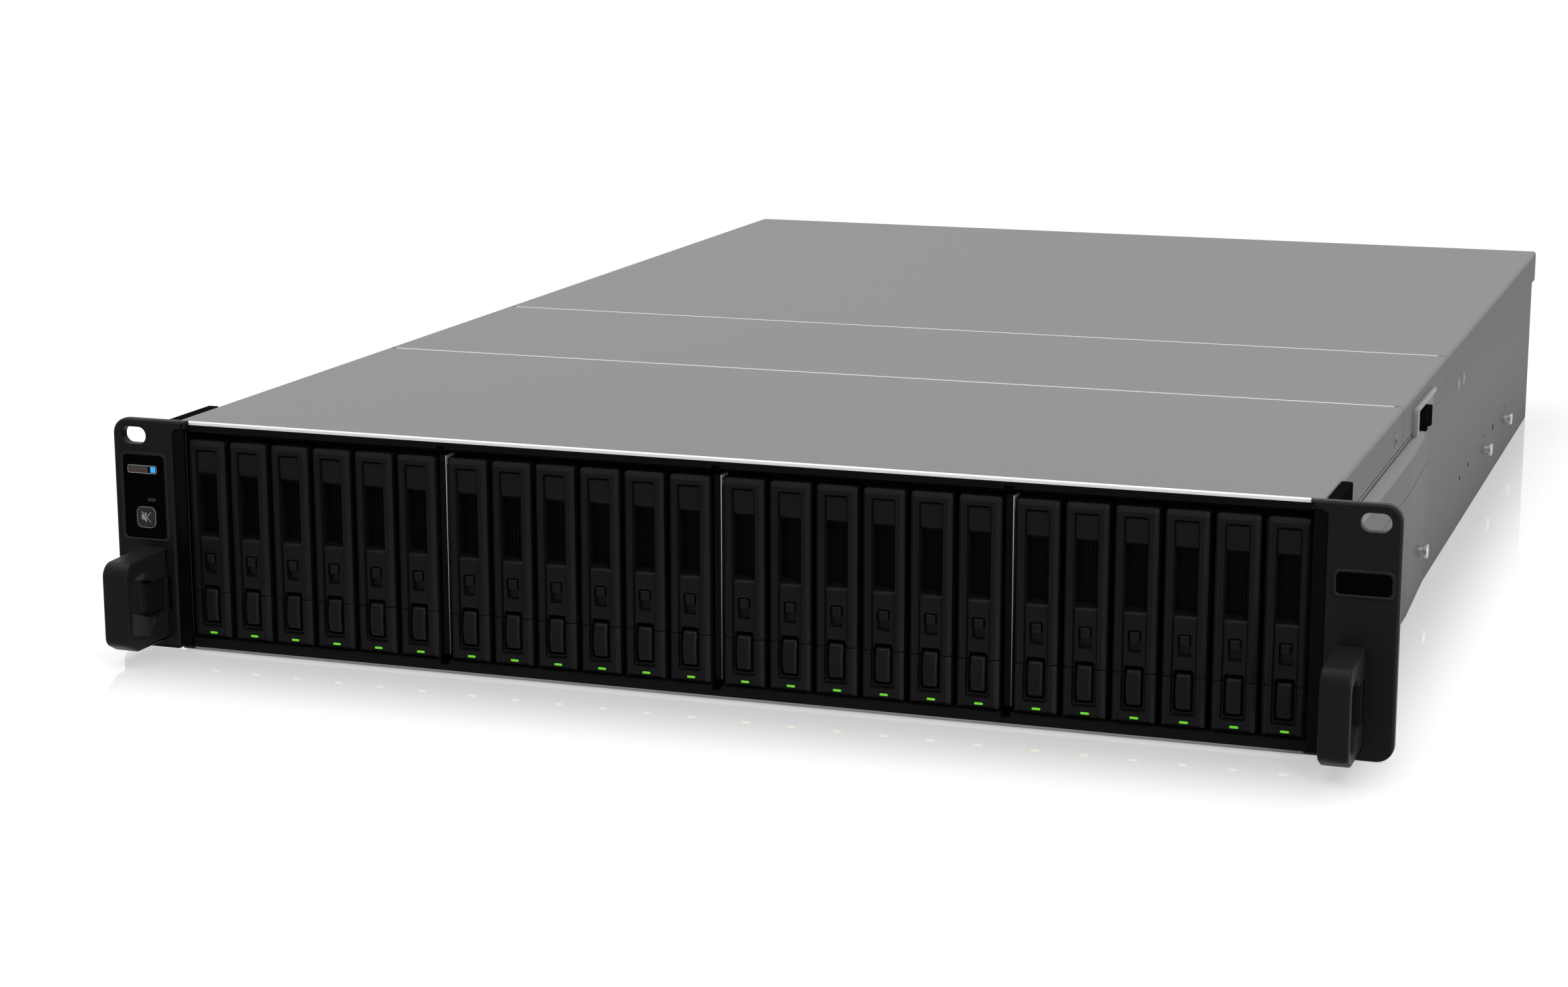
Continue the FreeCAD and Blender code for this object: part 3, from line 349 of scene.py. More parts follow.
lock = relief(stops(-1.15, 1.35, soft=0.08, ends=LOCK_HALF * small),
              stops(34.13, 34.57, soft=0.08, ends=LOCK_MID + LOCK_TALL * small), lock_depth, 2.55, corner=0.35,
              low_corner=True)
lens = relief(LENS_X + LENS_HALF * small, LENS_Z + LENS_TALL * small, lens_depth, 1.5, corner=0.3, low_corner=True)
# the slats and the liner behind the air window are near-black painted shade standing for the dark inside
slats = [brick((s - 0.2, s + 0.2), (5.0, 5.7), (44.6, 67.0)) for s in np.linspace(-3.3, 3.3, 6)]
liner = brick((-4.1, 4.1), (5.6, 6.3), (43.6, 68.4))
catch = prism(circle(-3.55, 10.15, 0.42, 12), 0.55, 1.2, "y")
carrier = prism([(6.9, FOOT_LOW + 0.1), (CARRIER_BACK, FOOT_LOW + 0.1), (CARRIER_BACK, 7.9), (12.2, 7.9), (12.2, 78.1),
                 (CARRIER_BACK, 78.1), (CARRIER_BACK, LEVER_TOP), (9.8, LEVER_TOP), (9.8, 70), (7.4, 70),
                 (7.4, 22.4), (6.9, 22.4)], -7.4, 7.4)
cheek_line = [(1.9, 75.6), (3.2, 74.2), (9.9, 74.2), (9.9, 77.4), (6.2, 77.6), (5.2, 78.8), (3.2, 78.8), (1.9, 77.4)]
cheeks = [(prism(cheek_line, a, b), 0) for a, b in ((-6.1, -4.1), (4.1, 6.1))]
pin = prism(circle(PIN_Y, PIN_Z, 1.0, 16), -6.2, 6.2)
drive_case = prism([(-7.4, 13.6), (-6.8, 13), (6.8, 13), (7.4, 13.6), (7.4, 112.6), (6.8, 113.2), (-6.8, 113.2),
                    (-7.4, 112.6)], 8.0, 77.7, "z")
drive_lid = brick((7.38, 7.48), (16, 108), (10.5, 75.2), 2.5)
drive_plate = brick((-7.48, -7.38), (18, 108), (11, 74.5), 2.0)
drive_socket = brick((-2.2, 2.2), (113, 117.5), (16, 46), 0.4)

PLAIN, LAMP, SHADE_BLACK, METAL, BOARD, HIGHLIGHT = range(6)  # places in TRAY_LOOKS
window = [(part, SHADE_BLACK) for part in slats + [liner]]
# where light catches the chamfers, the window's lower lip and the button's right side and top, the lighter copy paints
# the highlight
lever_kinds = facets(lever_front, lambda x, z: (np.abs(x) > 6.1) | (z > 79) | (np.abs(x) < 4) & (z > 42.9) & (z < 44.3),
                     PLAIN, HIGHLIGHT)
foot_kinds = facets(foot_front, lambda x, z: np.abs(x) > 6.1, PLAIN, HIGHLIGHT)
key = [(button, facets(button, lambda x, z: (x > 1.9) | (z > 22.9), PLAIN, HIGHLIGHT))]
lever = [(lever_front, lever_kinds)]
# the carrier is in the near-black painted shade, so that the gaps between the trays read dark
foot = [(foot_front, foot_kinds), (carrier, SHADE_BLACK), (catch, PLAIN), (lens, LAMP)]
drive = [(drive_case, METAL), (drive_lid, METAL), (drive_plate, BOARD), (drive_socket, SHADE_BLACK)]
pad = [(lock, PLAIN)]
for n, x in enumerate(BAYS, 1):
    tray = f"tray_{n:02d}"
    if n < 19:                                     # one piece
        rows = [("front", tray, lever + pad + window + foot + key + drive, tray)]
    elif n < 24:                                   # lever apart
        rows = [("foot", tray, foot + cheeks + key + drive, tray),
                ("front", f"lever_{n}", lever + pad + window, f"lever_{n}")]
    else:                                          # every piece apart
        rows = [("foot", tray, foot + cheeks + [(pin, METAL)], tray), ("case", tray, drive, "drive_24"),
                ("front", "lever_24", lever + window, "lever_24"),
                ("pad", "lock_slider_24", pad, "lock_slider_24"), ("pad", "eject_button_24", key, "eject_button_24")]
    for ending, body, parts, node in rows:
        make(f"{node}_{ending}", at_face(parts, x), body,
             TRAY_LOOKS, [node])

# ---------------------------------------------------------------- rack ears
# A thick moulded plate on each side with one slot for the rack screw, a raised rim round
# the label and a square gate for the latch. A wing behind it is screwed to the side wall.


def rounded(corners, radii, turns=6):
    """A closed outline whose corners are arcs; a radius of 0 leaves the corner sharp."""
    out = []
    corners = np.array(corners, float)
    for k, r in enumerate(np.broadcast_to(radii, len(corners))):
        a, b, c = corners[k - 1], corners[k], corners[(k + 1) % len(corners)]
        if r == 0:
            out.append(b[None])
            continue
        u, v = (a - b) / np.linalg.norm(a - b), (c - b) / np.linalg.norm(c - b)
        half = math.acos(np.clip(u @ v, -1, 1)) / 2
        mid = (u + v) / np.linalg.norm(u + v)
        heart = b + mid * r / math.sin(half)
        p, q = b + u * r / math.tan(half) - heart, b + v * r / math.tan(half) - heart
        t = np.linspace(0, 1, turns + 1)[:, None] * (math.pi - 2 * half)
        out.append(heart + (p * np.sin(math.pi - 2 * half - t) + q * np.sin(t)) / math.sin(math.pi - 2 * half))
    return np.concatenate(out)


def turning(p):
    """Twice the area inside an outline, below zero where it runs clockwise."""
    return np.sum(p[:, 0] * np.roll(p[:, 1], -1) - np.roll(p[:, 0], -1) * p[:, 1])


def panel(outer, holes, low, high, soft, axis="y", rounds=3, hole_soft=None):
    """A plate with holes and rounded rims. Rings of the outline, each stepped inwards along the
    outline's own normals, climb from one face to the other; the two faces are filled flat."""
    loops = [p if (turning(p) > 0) == (k == 0) else p[::-1] for k, p in enumerate([outer, *holes])]
    turn = np.linspace(0, math.pi / 2, rounds + 1)
    flat = {"x": [1, 2, 0], "y": [0, 2, 1], "z": [0, 1, 2]}[axis]
    points, faces, caps, start = [], [], ([], []), 0
    for k, p in enumerate(loops):
        r = soft if k == 0 or hole_soft is None else hole_soft
        steps = [(r + 0.12, low)] + [(r * (1 - math.sin(a)), low + r * (1 - math.cos(a))) for a in turn]
        steps += [(r * (1 - math.cos(a)), high - r * (1 - math.sin(a))) for a in turn] + [(r + 0.12, high)]
        n = len(p)
        ahead = np.roll(p, -1, 0) - p
        ahead /= np.linalg.norm(ahead, axis=1)[:, None]
        left = np.stack([-ahead[:, 1], ahead[:, 0]], -1)
        both = left + np.roll(left, 1, 0)
        inward = both / np.maximum(0.5 * np.sum(both * both, 1), 0.3)[:, None]
        rings = np.zeros((len(steps), n, 3))
        for one, (inset, level) in zip(rings, steps):
            one[:, flat[:2]] = p + inward * inset
            one[:, flat[2]] = level
        index = start + np.arange(len(steps) * n).reshape(len(steps), n)
        nxt = np.roll(index, -1, 1)
        faces += np.stack([index[:-1], nxt[:-1], nxt[1:], index[1:]], -1).reshape(-1, 4).tolist()
        points.append(rings.reshape(-1, 3))
        for cap, row in zip(caps, (0, -1)):
            cap.append((index[row], p + inward * steps[row][0]))
        start += len(steps) * n
    for cap in caps:
        order = np.concatenate([i for i, _ in cap])
        tris = tessellate_polygon([[Vector((a, b, 0)) for a, b in q] for _, q in cap])
        faces += [[int(order[v]) for v in tri] for tri in tris]
    return np.concatenate(points), faces


def frame_box(cx, cz, w, h, r, turns=6):
    """A rectangle about (cx, cz), w wide and h high, with corners of radius r."""
    left, right, low, high = cx - w / 2, cx + w / 2, cz - h / 2, cz + h / 2
    return rounded([(left, low), (right, low), (right, high), (left, high)], r, turns)


EAR_OUT, EAR_IN, EAR_TAB = 241.3, 216.5, 210.9
EAR_TOP, EAR_FACE, EAR_THICK, EAR_CORNER = 88.1, -2.5, 4.2, 6
SLOT_X, SLOT_Z, SLOT_LONG, SLOT_HIGH = 232.55, 81.75, 10.3, 6.5
GATE = (223.25, 21.45, 8.3, 13.3)                  # latch gate in the right ear: middle, width and height
WING_OUT, WING_FRONT, WING_BACK = 219.4, 1.2, 31.5
LABELS = {"left": (-228.75, 58.4, 17.7, 32), "right": (229.25, 60.7, 18.5, 7.5)}    # middle, width and height
SIDES = (("left", -1), ("right", 1))
ear_black = finish("ear_moulding", (0.0145, 0.0145, 0.0148), 0.42, scale=1300, bump=0.006, mottle=0.1, uneven=0.03,
                   specular=0.08)
# painted highlight: a lighter copy of the ear moulding for the ear's outer rim and corners and the raised rim round
# each label
rim_highlight_black = finish("painted_highlight_rim", (0.034, 0.034, 0.0345), 0.4, scale=1300, bump=0.004, mottle=0.08, uneven=0.03,
                   specular=0.06)
matt_black = finish("matt_black", (0.009, 0.009, 0.0092), 0.8, scale=1500, bump=0.006, mottle=0.15, specular=0.0)
screw_steel = finish("screw_steel", (0.55, 0.55, 0.56), 0.3, 1.0, scale=700, stretch=0.2, bump=0.01)
gloss_label = finish("gloss_label", (0.0008, 0.0008, 0.0009), 0.12, scale=300, bump=0.002, uneven=0.02, mottle=0.02,
                     specular=0.012)



def on_rim(x, z):
    """True on the rounded outer rim of an ear and on its two outer corners, where the painted highlight goes."""
    over_x = np.maximum(np.abs(x) - EAR_OUT + EAR_CORNER, 0)
    over_z = np.maximum(z - EAR_TOP + EAR_CORNER, 0)
    return (np.abs(x) > EAR_OUT - 0.9) | (z > EAR_TOP - 0.9) | (np.hypot(over_x, over_z) > 5.1)


for side, mark in SIDES:
    cx, cz, w, h = LABELS[side]
    outer = rounded([(mark * EAR_IN, 0.1), (mark * EAR_OUT, 0.1), (mark * EAR_OUT, EAR_TOP), (mark * EAR_TAB, EAR_TOP),
                     (mark * EAR_TAB, 85), (mark * EAR_IN, 85)], [0.8, EAR_CORNER, EAR_CORNER, 0.4, 0.4, 2.5], 8)
    holes = [frame_box(mark * SLOT_X, SLOT_Z, SLOT_LONG, SLOT_HIGH, 3.1, 9), frame_box(cx, cz, w, h, 1.6),
             frame_box(mark * GATE[0], *GATE[1:], 0.4, 2)]
    plate = panel(outer, holes, EAR_FACE, EAR_FACE + EAR_THICK, 0.95, rounds=4, hole_soft=0.2)
    rim = panel(frame_box(cx, cz, w + 2.2, h + 2.2, 2.4), [frame_box(cx, cz, w - 0.05, h - 0.05, 1.6)], EAR_FACE - 0.55,
                EAR_FACE + 1.2, 0.5)
    wide, tall = w / 2 + 0.4, h / 2 + 0.4
    back = brick((cx - wide, cx + wide), (EAR_FACE + 1.5, EAR_FACE + 4), (cz - tall, cz + tall))
    # the outer rim, the outer corners and the label rim take the lighter copy: painted highlight
    parts = [(plate, facets(plate, on_rim, 0, 3)), (rim, 3), (back, 0)]
    for inner, bottom, top in ((216.25, 30, 71.2), (215.3, 70.9, 88)):
        plan = [(mark * inner, WING_FRONT), (mark * WING_OUT, WING_FRONT), (mark * WING_OUT, WING_BACK),
                (mark * inner, WING_BACK)]
        parts.append((panel(rounded(plan, [0, 0, 1, 0], 3), [], bottom, top, 0.3, "z", 2), 2))
    for x, z in (((228.1, 229.1), (9.6, 32.2)), ((216.6, 229.1), (9.6, 10.6)), ((216.6, 229.1), (31.2, 32.2))):
        parts.append((brick(sorted((mark * x[0], mark * x[1])), (1.2, 26), z, 0.2), 0))
    parts += [(prism(circle(y, z, 1.9, 20), *sorted((mark * 219.2, mark * 220))), 1)
              for y, z in ((12, 42), (24, 42), (12, 62), (24, 62))]
    make(f"{side}_ear_plate", at_face(parts), "chassis",
         [ear_black, screw_steel, matt_black, rim_highlight_black], [f"{side}_ear"])

# ---------------------------------------------------------------- pull grips
# A moulded loop below each label; its arms thicken towards the ear. The trigger of the rack
# latch stands in the opening, and pulls straight forward with two fingers.

grip_line = rounded([(-2.5, 4.1), (-25, 4.3), (-32, 8), (-32, 38.6), (-2.5, 39.4)], [0.3, 3.0, 4.0, 5.4, 0.3], 8)
opening = rounded([(-28, 10.6), (-18.5, 8.7), (-12, 14.6), (-3.6, 14.6), (-3.6, 28.3), (-12.5, 28.3), (-18.5, 33.4),
                   (-28, 31.4)], [1.6, 1.2, 1.2, 0.3, 0.3, 1.2, 1.2, 1.6], 4)
trigger_line = rounded([(-12.3, 15.3), (13, 15.3), (13, 12), (15, 12), (19, 17), (19, 22), (6, 24), (4, 27.6),
                        (-12.3, 27.6)], [0.8, 0.3, 0.3, 0.3, 0.5, 0.5, 1, 0.5, 0.8], 3)
for side, mark in SIDES:
    loop = panel(grip_line, [opening], *sorted((mark * 220.4, mark * 230.8)), 1.0, "x", 4)
    make(f"{side}_grip", at_face([(loop, 0)]), "chassis", [ear_black], [f"{side}_handle"])
    trigger = panel(trigger_line, [], *sorted((mark * 223.1, mark * 226.9)), 0.35, "x", 2)
    make(f"{side}_latch_trigger", at_face([(trigger, 0)]), f"{side}_rack_latch", [moulding],
         [f"{side}_rack_latch"])

# ---------------------------------------------------------------- label plates, lamps and mute button
# Gloss black film in each ear's recess. The left one has a lit power window, a dark alarm
# window and a grey button with a crossed speaker on it; the right one is bare.

soft_grey = finish("button_grey", (0.05, 0.05, 0.051), 0.4, scale=900, bump=0.005, specular=0.1)
print_grey = finish("printed_grey", (0.66, 0.67, 0.67), 0.5, scale=1500, bump=0.005)
blue_lamp = lamp_finish("blue_lamp", (0.015, 0.33, 0.78), 0.9)
dim_red = finish("unlit_red", (0.035, 0.004, 0.004), 0.3, scale=1500, bump=0.005)
PLATE = EAR_FACE + 0.1                             # front of the label film
KEY = (-228.3, 50.55, 8.0, 8.1)                    # middle, width and height of the mute button
for label, node, side in (("control_film", "control_panel", "left"), ("bare_film", "name_plate", "right")):
    cx, cz, w, h = LABELS[side]
    holes = [frame_box(*KEY[:2], 8.6, 8.7, 2.3)] if side == "left" else []
    film = panel(frame_box(cx, cz, w - 0.2, h - 0.2, 1.5), holes, PLATE, PLATE + 0.7, 0.12, rounds=2)
    make(label, at_face([(film, 0)]), "chassis", [gloss_label], [node])


def ring(cx, cz, w, h, r, thick, front):
    """A thin raised outline round a rounded rectangle."""
    inner = frame_box(cx, cz, w - 2 * thick, h - 2 * thick, max(r - thick, 0.05))
    return panel(frame_box(cx, cz, w, h, r), [inner], front, front + 0.12, 0.03, rounds=1)


def badge(outline, front):
    """A flat shape a tenth of a millimetre thick."""
    return panel(outline, [], front, front + 0.1, 0.02, rounds=1)


lights = [(ring(-229.5, 68.85, 12.4, 3.1, 0.9, 0.28, PLATE - 0.06), 1),
          (badge(frame_box(-231.1, 68.85, 8.0, 2.2, 0.5, 3), PLATE - 0.04), 3),
          (badge(frame_box(-224.95, 68.88, 2.05, 2.1, 0.25, 2), PLATE - 0.08), 2),
          (badge(frame_box(-225.95, 57.35, 3.5, 1.3, 0.35, 3), PLATE - 0.04), 0)]
make("panel_windows", at_face(lights), "chassis", [soft_grey, print_grey, blue_lamp, dim_red])

cap = panel(frame_box(*KEY, 2.2), [], PLATE - 0.45, PLATE + 0.45, 0.35)
print_at = PLATE - 0.5                             # front of what is printed on the button
speaker = [
    rounded([(-230.3, 49.7), (-229.4, 49.7), (-228.2, 48.6), (-228.2, 52.6), (-229.4, 51.5), (-230.3, 51.5)], 0.12, 2),
    rounded([(-230.4, 52.5), (-230.15, 52.75), (-226.3, 48.8), (-226.55, 48.55)], 0),
    rounded([(-226.5, 52.6), (-226.25, 52.4), (-227.9, 50.6), (-226.3, 48.9), (-226.55, 48.65), (-228.3, 50.6)], 0)]
signs = [(ring(*KEY, 2.2, 0.22, print_at), 1)] + [(badge(sign, print_at), 1) for sign in speaker]
make("mute_key", at_face([(cap, 0)] + signs), "mute_button", [soft_grey, print_grey], ["mute_button"])

# ---------------------------------------------------------------- covers
# Three lids folded from one-millimetre steel and powder coated grey, laid end to end. The
# front one is rolled over at its edge; the rolled edge, a strip along each cut edge at a joint and a
# tongue in each of the two joints are pale: painted highlight.


def run(profile, low, high):
    """A folded sheet: the same closed (x, z) section at both ends and at lines just inside them."""
    y = np.array([low, low + 0.25, high - 0.25, high])
    n = len(profile)
    points = np.zeros((len(y), n, 3))
    points[:, :, 0], points[:, :, 2], points[:, :, 1] = profile[:, 0], profile[:, 1], y[:, None]
    index = np.arange(len(y) * n).reshape(len(y), n)
    nxt = np.roll(index, -1, 1)
    faces = np.stack([index[:-1], nxt[:-1], nxt[1:], index[1:]], -1).reshape(-1, 4).tolist()
    for row in (index[0], index[-1]):
        tris = tessellate_polygon([[Vector((a, b, 0)) for a, b in profile]])
        faces += [[int(row[v]) for v in tri] for tri in tris]
    return points.reshape(-1, 3), faces


COVER_HALF, COVER_TOP, FLANGE, SHEET = 215.25, 88.0, 15.0, 1.0
powder_grey = finish("grey_powder_coat", (0.272, 0.272, 0.274), 0.5, scale=2200, bump=0.006, mottle=0.012, uneven=0.03,
                     specular=0.25)
side_grey = finish("grey_side_steel", (0.22, 0.22, 0.222), 0.5, scale=2000, bump=0.004, mottle=0.02, specular=0.08)
# painted shade: a darker copy of the powder coat for the lids' side flanges, which face away from the light that falls
# on the top
flange_shade_grey = finish("painted_shade_flange_grey", (0.208, 0.208, 0.21), 0.5, scale=2200, bump=0.006, mottle=0.012, uneven=0.03,
                     specular=0.08)
latch_grey = finish("latch_frame_grey", (0.4, 0.4, 0.402), 0.4, scale=1500, bump=0.003, mottle=0.02, specular=0.25)
# painted highlight: a pale half-metallic finish for the rolled front edge, the strips along the joints and the tongues
# in them
highlight_edge = finish("painted_highlight_edge", (0.88, 0.88, 0.88), 0.32, 0.5, scale=900, bump=0.0005, mottle=0.01,
                     uneven=0.01)
in_half, in_top, low = COVER_HALF - SHEET, COVER_TOP - SHEET, COVER_TOP - FLANGE
section = rounded([(-COVER_HALF, low), (-in_half, low), (-in_half, in_top), (in_half, in_top), (in_half, low),
                   (COVER_HALF, low), (COVER_HALF, COVER_TOP), (-COVER_HALF, COVER_TOP)],
                  [0.3, 0.3, 0.4, 0.4, 0.3, 0.3, 1.5, 1.5], 6)
JOINTS = [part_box(n)[k].y / MM
          for n, k in (("front_cover", 1), ("middle_cover", 0), ("middle_cover", 1), ("rear_cover", 0))]
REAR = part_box("rear_cover")[1].y / MM
TRIM = 0.5                                         # a pale strip along each cut edge at a joint: painted highlight
TRIM_HALF = COVER_HALF - 2.4
HOOK_IN, HOOK_OUT, BED_OUT = 214.85, 217.2, 216.15 # latch frame and the bed that its thumb slide runs on
JOINT_MIDS = (JOINTS[0] + 0.3, JOINTS[2] + 0.3)
lids = {"front_cover": (FACE + 0.9, JOINTS[0], [JOINTS[0] - TRIM]),       # start, end, start of each pale strip of painted highlight
        "middle_cover": (JOINTS[1], JOINTS[2], [JOINTS[1], JOINTS[2] - TRIM]),
        "rear_cover": (JOINTS[3], REAR, [JOINTS[3]])}
roll = rounded([(FACE + 0.95, COVER_TOP), (FACE, COVER_TOP), (FACE, COVER_TOP - 1.5), (FACE + 0.95, COVER_TOP - 1.5)],
               [0.0, 0.8, 0.3, 0.3], 6)
hook = rounded([(205, 71.2), (209.3, 71.2), (209.3, 80.6), (257, 80.6), (257, 82.6), (205, 82.6)],
               [0.5, 0.5, 0.5, 0.5, 0.5, 1.6], 4)
bed = rounded([(205.5, 73.2), (256, 73.2), (256, 80.8), (205.5, 80.8)], 0.3, 2)
for node, (start, end, trims) in lids.items():
    lid = run(section, start, end)
    # below the top edge the side flanges take the darker copy: painted shade
    parts = [(lid, facets(lid, lambda x, z: (np.abs(x) > COVER_HALF - 0.1) & (z < COVER_TOP - 1.6), 0, 3))]
    parts += [(brick((-TRIM_HALF, TRIM_HALF), (y - 0.02, y + TRIM + 0.02), (COVER_TOP - 0.5, COVER_TOP + 0.04)), 1)
              for y in trims]
    if node == "front_cover":
        # the rolled front edge takes the pale finish: painted highlight
        parts.append((prism(roll, -EAR_TAB + 0.5, EAR_TAB - 0.5), 1))
    if node == "middle_cover":
        for mark in (-1, 1):
            parts += at_face([(panel(hook, [], *sorted((mark * HOOK_IN, mark * HOOK_OUT)), 0.4, "x", 3), 2),
                              (panel(bed, [], *sorted((mark * HOOK_IN, mark * BED_OUT)), 0.2, "x", 2), 0)])
    make(f"{node}_lid", parts, "middle_cover" if node == "middle_cover" else "chassis",
         [powder_grey, highlight_edge, latch_grey, flange_shade_grey], [node])
# a pale tongue in each joint: painted highlight
for k, y in enumerate(JOINT_MIDS, 1):
    tongue = brick((-TRIM_HALF, TRIM_HALF), (y - 0.28, y + 0.28), (COVER_TOP - 1.2, COVER_TOP - 0.08))
    make(f"joint_tongue_{k}", [(tongue, 0)], "chassis", [highlight_edge])

for side, mark in SIDES:
    thumb = [(217.4, 0), (217.4, 2.8), (220.6, 2.8), (223, 2), (228, 2), (230.4, 2.8), (233.4, 2.8), (233.4, 0)]
    line = rounded([(y, mark * (BED_OUT + out)) for y, out in thumb], [0, 0.5, 0.8, 3, 3, 0.8, 0.5, 0], 4)
    slide = panel(line[:, ::-1], [], 71.4, 79.6, 0.3, "z", 3)
    make(f"hatch_latch_{side}", at_face([(slide, 0)]), f"cover_latch_{side}", [matt_black],
         [f"cover_latch_{side}"])

# ---------------------------------------------------------------- side fittings
# What is pressed or riveted into each side wall: the rolled shoulder under the front cover with a lip
# above it, both in lighter greys as painted highlight, a crease and the gap over the shoulder as dark
# strips of painted shade, small holes as dark discs of painted shade, dimples, one cover screw and the
# turned steel studs that hook into the rails.

WALL, SWELL, SWELL_FADE, SWELL_END = 214.05, 216.2, 200.0, 262.0


def wall_at(y):
    """Distance of the wall from the middle: flat, then falling back in a straight line, then flat."""
    return np.interp(y, [SWELL_FADE, SWELL_END], [SWELL, WALL])


EVEN = ([0, 1], [1, 1])                            # a fade that stays at 1


def along_wall(profile, ys, mark, fade=EVEN):
    """A bar that follows the wall: each profile point (u, z) stands u * fade(y) outside the wall."""
    profile, ys = np.array(profile, float), np.array(ys, float)
    u, y = np.meshgrid(profile[:, 0], ys)
    out = wall_at(y) + np.where(u > 0, u * np.interp(y, *fade), u)
    points = np.stack([mark * out, y, np.tile(profile[:, 1], (len(ys), 1))], -1)
    index = np.arange(points[..., 0].size).reshape(u.shape)
    nxt = np.roll(index, -1, 1)
    faces = np.stack([index[:-1], nxt[:-1], nxt[1:], index[1:]], -1).reshape(-1, 4)
    return points.reshape(-1, 3), faces.tolist() + [index[0].tolist(), index[-1].tolist()]


def turned(profile, u, z, base, mark, turns=32):
    """A turned piece on a wall: each (radius, height) goes once round the axis through (u, z). It
    stands out from a side wall where mark is -1 or 1, and from the rear wall where mark is 0."""
    r, h = np.array(profile, float).T[:, :, None]
    a = np.linspace(0, 2 * math.pi, turns + 1)[:-1]
    across, up = u + r * np.cos(a), z + r * np.sin(a)
    points = np.stack(np.broadcast_arrays(*((mark * (base + h), across, up) if mark else (across, base + h, up))), -1)
    index = np.arange(r.size * turns).reshape(-1, turns)
    nxt = np.roll(index, -1, 1)
    faces = np.stack([index[:-1], nxt[:-1], nxt[1:], index[1:]], -1).reshape(-1, 4)
    return points.reshape(-1, 3), faces.tolist() + [index[0].tolist(), index[-1].tolist()]


STUD = [(1.9, -1), (1.9, 2.2), (2.7, 2.3), (2.9, 2.45), (2.9, 3.55), (2.7, 3.78), (2.2, 3.85), (1.9, 3.7), (0.4, 3.7)]
DIMPLE = [(2.95, -0.5), (2.95, 0.02), (2.6, 0.28), (1.9, 0.5), (1.0, 0.62), (0.2, 0.66)]
HEAD = [(2.8, -0.3), (2.8, 0.12), (2.5, 0.3), (0.2, 0.34)]
HOLES = ((498, 22.2, 1.5), (461.7, 24.4, 0.75), (404.3, 22, 1.15), (374.2, 21.6, 1.1), (545.5, 24.4, 0.75))
SCREW_Y, SCREW_Z, STUD_Z = 158, 78.2, 17.6
SHOULDER = [(-1.9, 71.2), (-0.9, 70.95), (-0.15, 70.3), (0.3, 69.4), (0.52, 68.4), (0.5, 67.3), (0.34, 66.1),
            (0.14, 64.8), (0.02, 63.4), (-1.2, 62.6)]
LIP = [(-2.2, 71.7), (-1.15, 71.7), (-0.95, 71.95), (-1.15, 72.2), (-2.2, 72.2)]
CREASE = [(-0.6, 50.3), (0.05, 50.3), (0.05, 50.62), (-0.6, 50.62)]
GAP = [(-2.1, 71.05), (-0.8, 71.05), (-0.8, 71.6), (-2.1, 71.6)]
hole_black = finish("hole_shadow", (0.004, 0.004, 0.004), 0.8, scale=1500, bump=0.002, specular=0.0)
# painted shade: a dark grey for the crease line and the gap over the shoulder
crease_shade_grey = finish("crease_shade_grey", (0.12, 0.12, 0.121), 0.6, scale=1500, bump=0.002, mottle=0.03, specular=0.05)
front_ys, back_ys = np.linspace(20, 190, 12).tolist(), np.linspace(200, 245, 8).tolist()
for side, mark in SIDES:
    # painted highlight: the shoulder takes the lids' lighter grey and the lip the latch grey; painted shade: the crease
    # and the gap are dark strips, the holes dark discs
    parts = [(along_wall(SHOULDER, [3, 6, *front_ys, *back_ys], mark, ([120, 245], [1, 0.05])), 3),
             (along_wall(LIP, [3, *front_ys, back_ys[0], 204], mark), 0),
             (along_wall(CREASE, [3, *front_ys, *back_ys, SWELL_END], mark), 1),
             (along_wall(GAP, [3, *front_ys, back_ys[0], 204], mark), 1)]
    parts += [(turned([(r, -0.3), (r, 0.05), (r - 0.15, 0.08)], y, z, WALL, mark, 20), 2) for y, z, r in HOLES]
    parts += [(turned(DIMPLE, y, 67, WALL, mark), 0) for y in (354, 371.5)]
    make(f"side_fittings_{side}", at_face(parts), "chassis",
         [latch_grey, crease_shade_grey, hole_black, powder_grey])
    parts = [(turned(HEAD, SCREW_Y, SCREW_Z, COVER_HALF, mark), 0)]
    for y, z in ((1.44, 0.352), (0.352, 1.44)):                            # the two bars of the cross, dark painted shade standing for the slot
        parts.append((brick(sorted((mark * (COVER_HALF + 0.1), mark * (COVER_HALF + 0.37))), (SCREW_Y - y, SCREW_Y + y),
                            (SCREW_Z - z, SCREW_Z + z)), 1))
    make(f"cover_screw_{side}", at_face(parts), "chassis", [powder_grey, hole_black])
studs = [(turned(STUD, y, STUD_Z, SWELL - 1.4 if y < SWELL_END else WALL, mark), 0)
         for mark in (-1, 1) for y in (241, 465, 548)]
make("turned_studs", at_face(studs), "chassis", [screw_steel], ["rail_studs"])

# ---------------------------------------------------------------- bare edges of the chassis
# Where cut or folded steel shows at the front: the front edge of the bottom sheet and the zinc
# side of each divider between the groups of bays, darkened downwards by painted shade; and the dark
# ends of the joints in the cover, small blocks of painted shade.

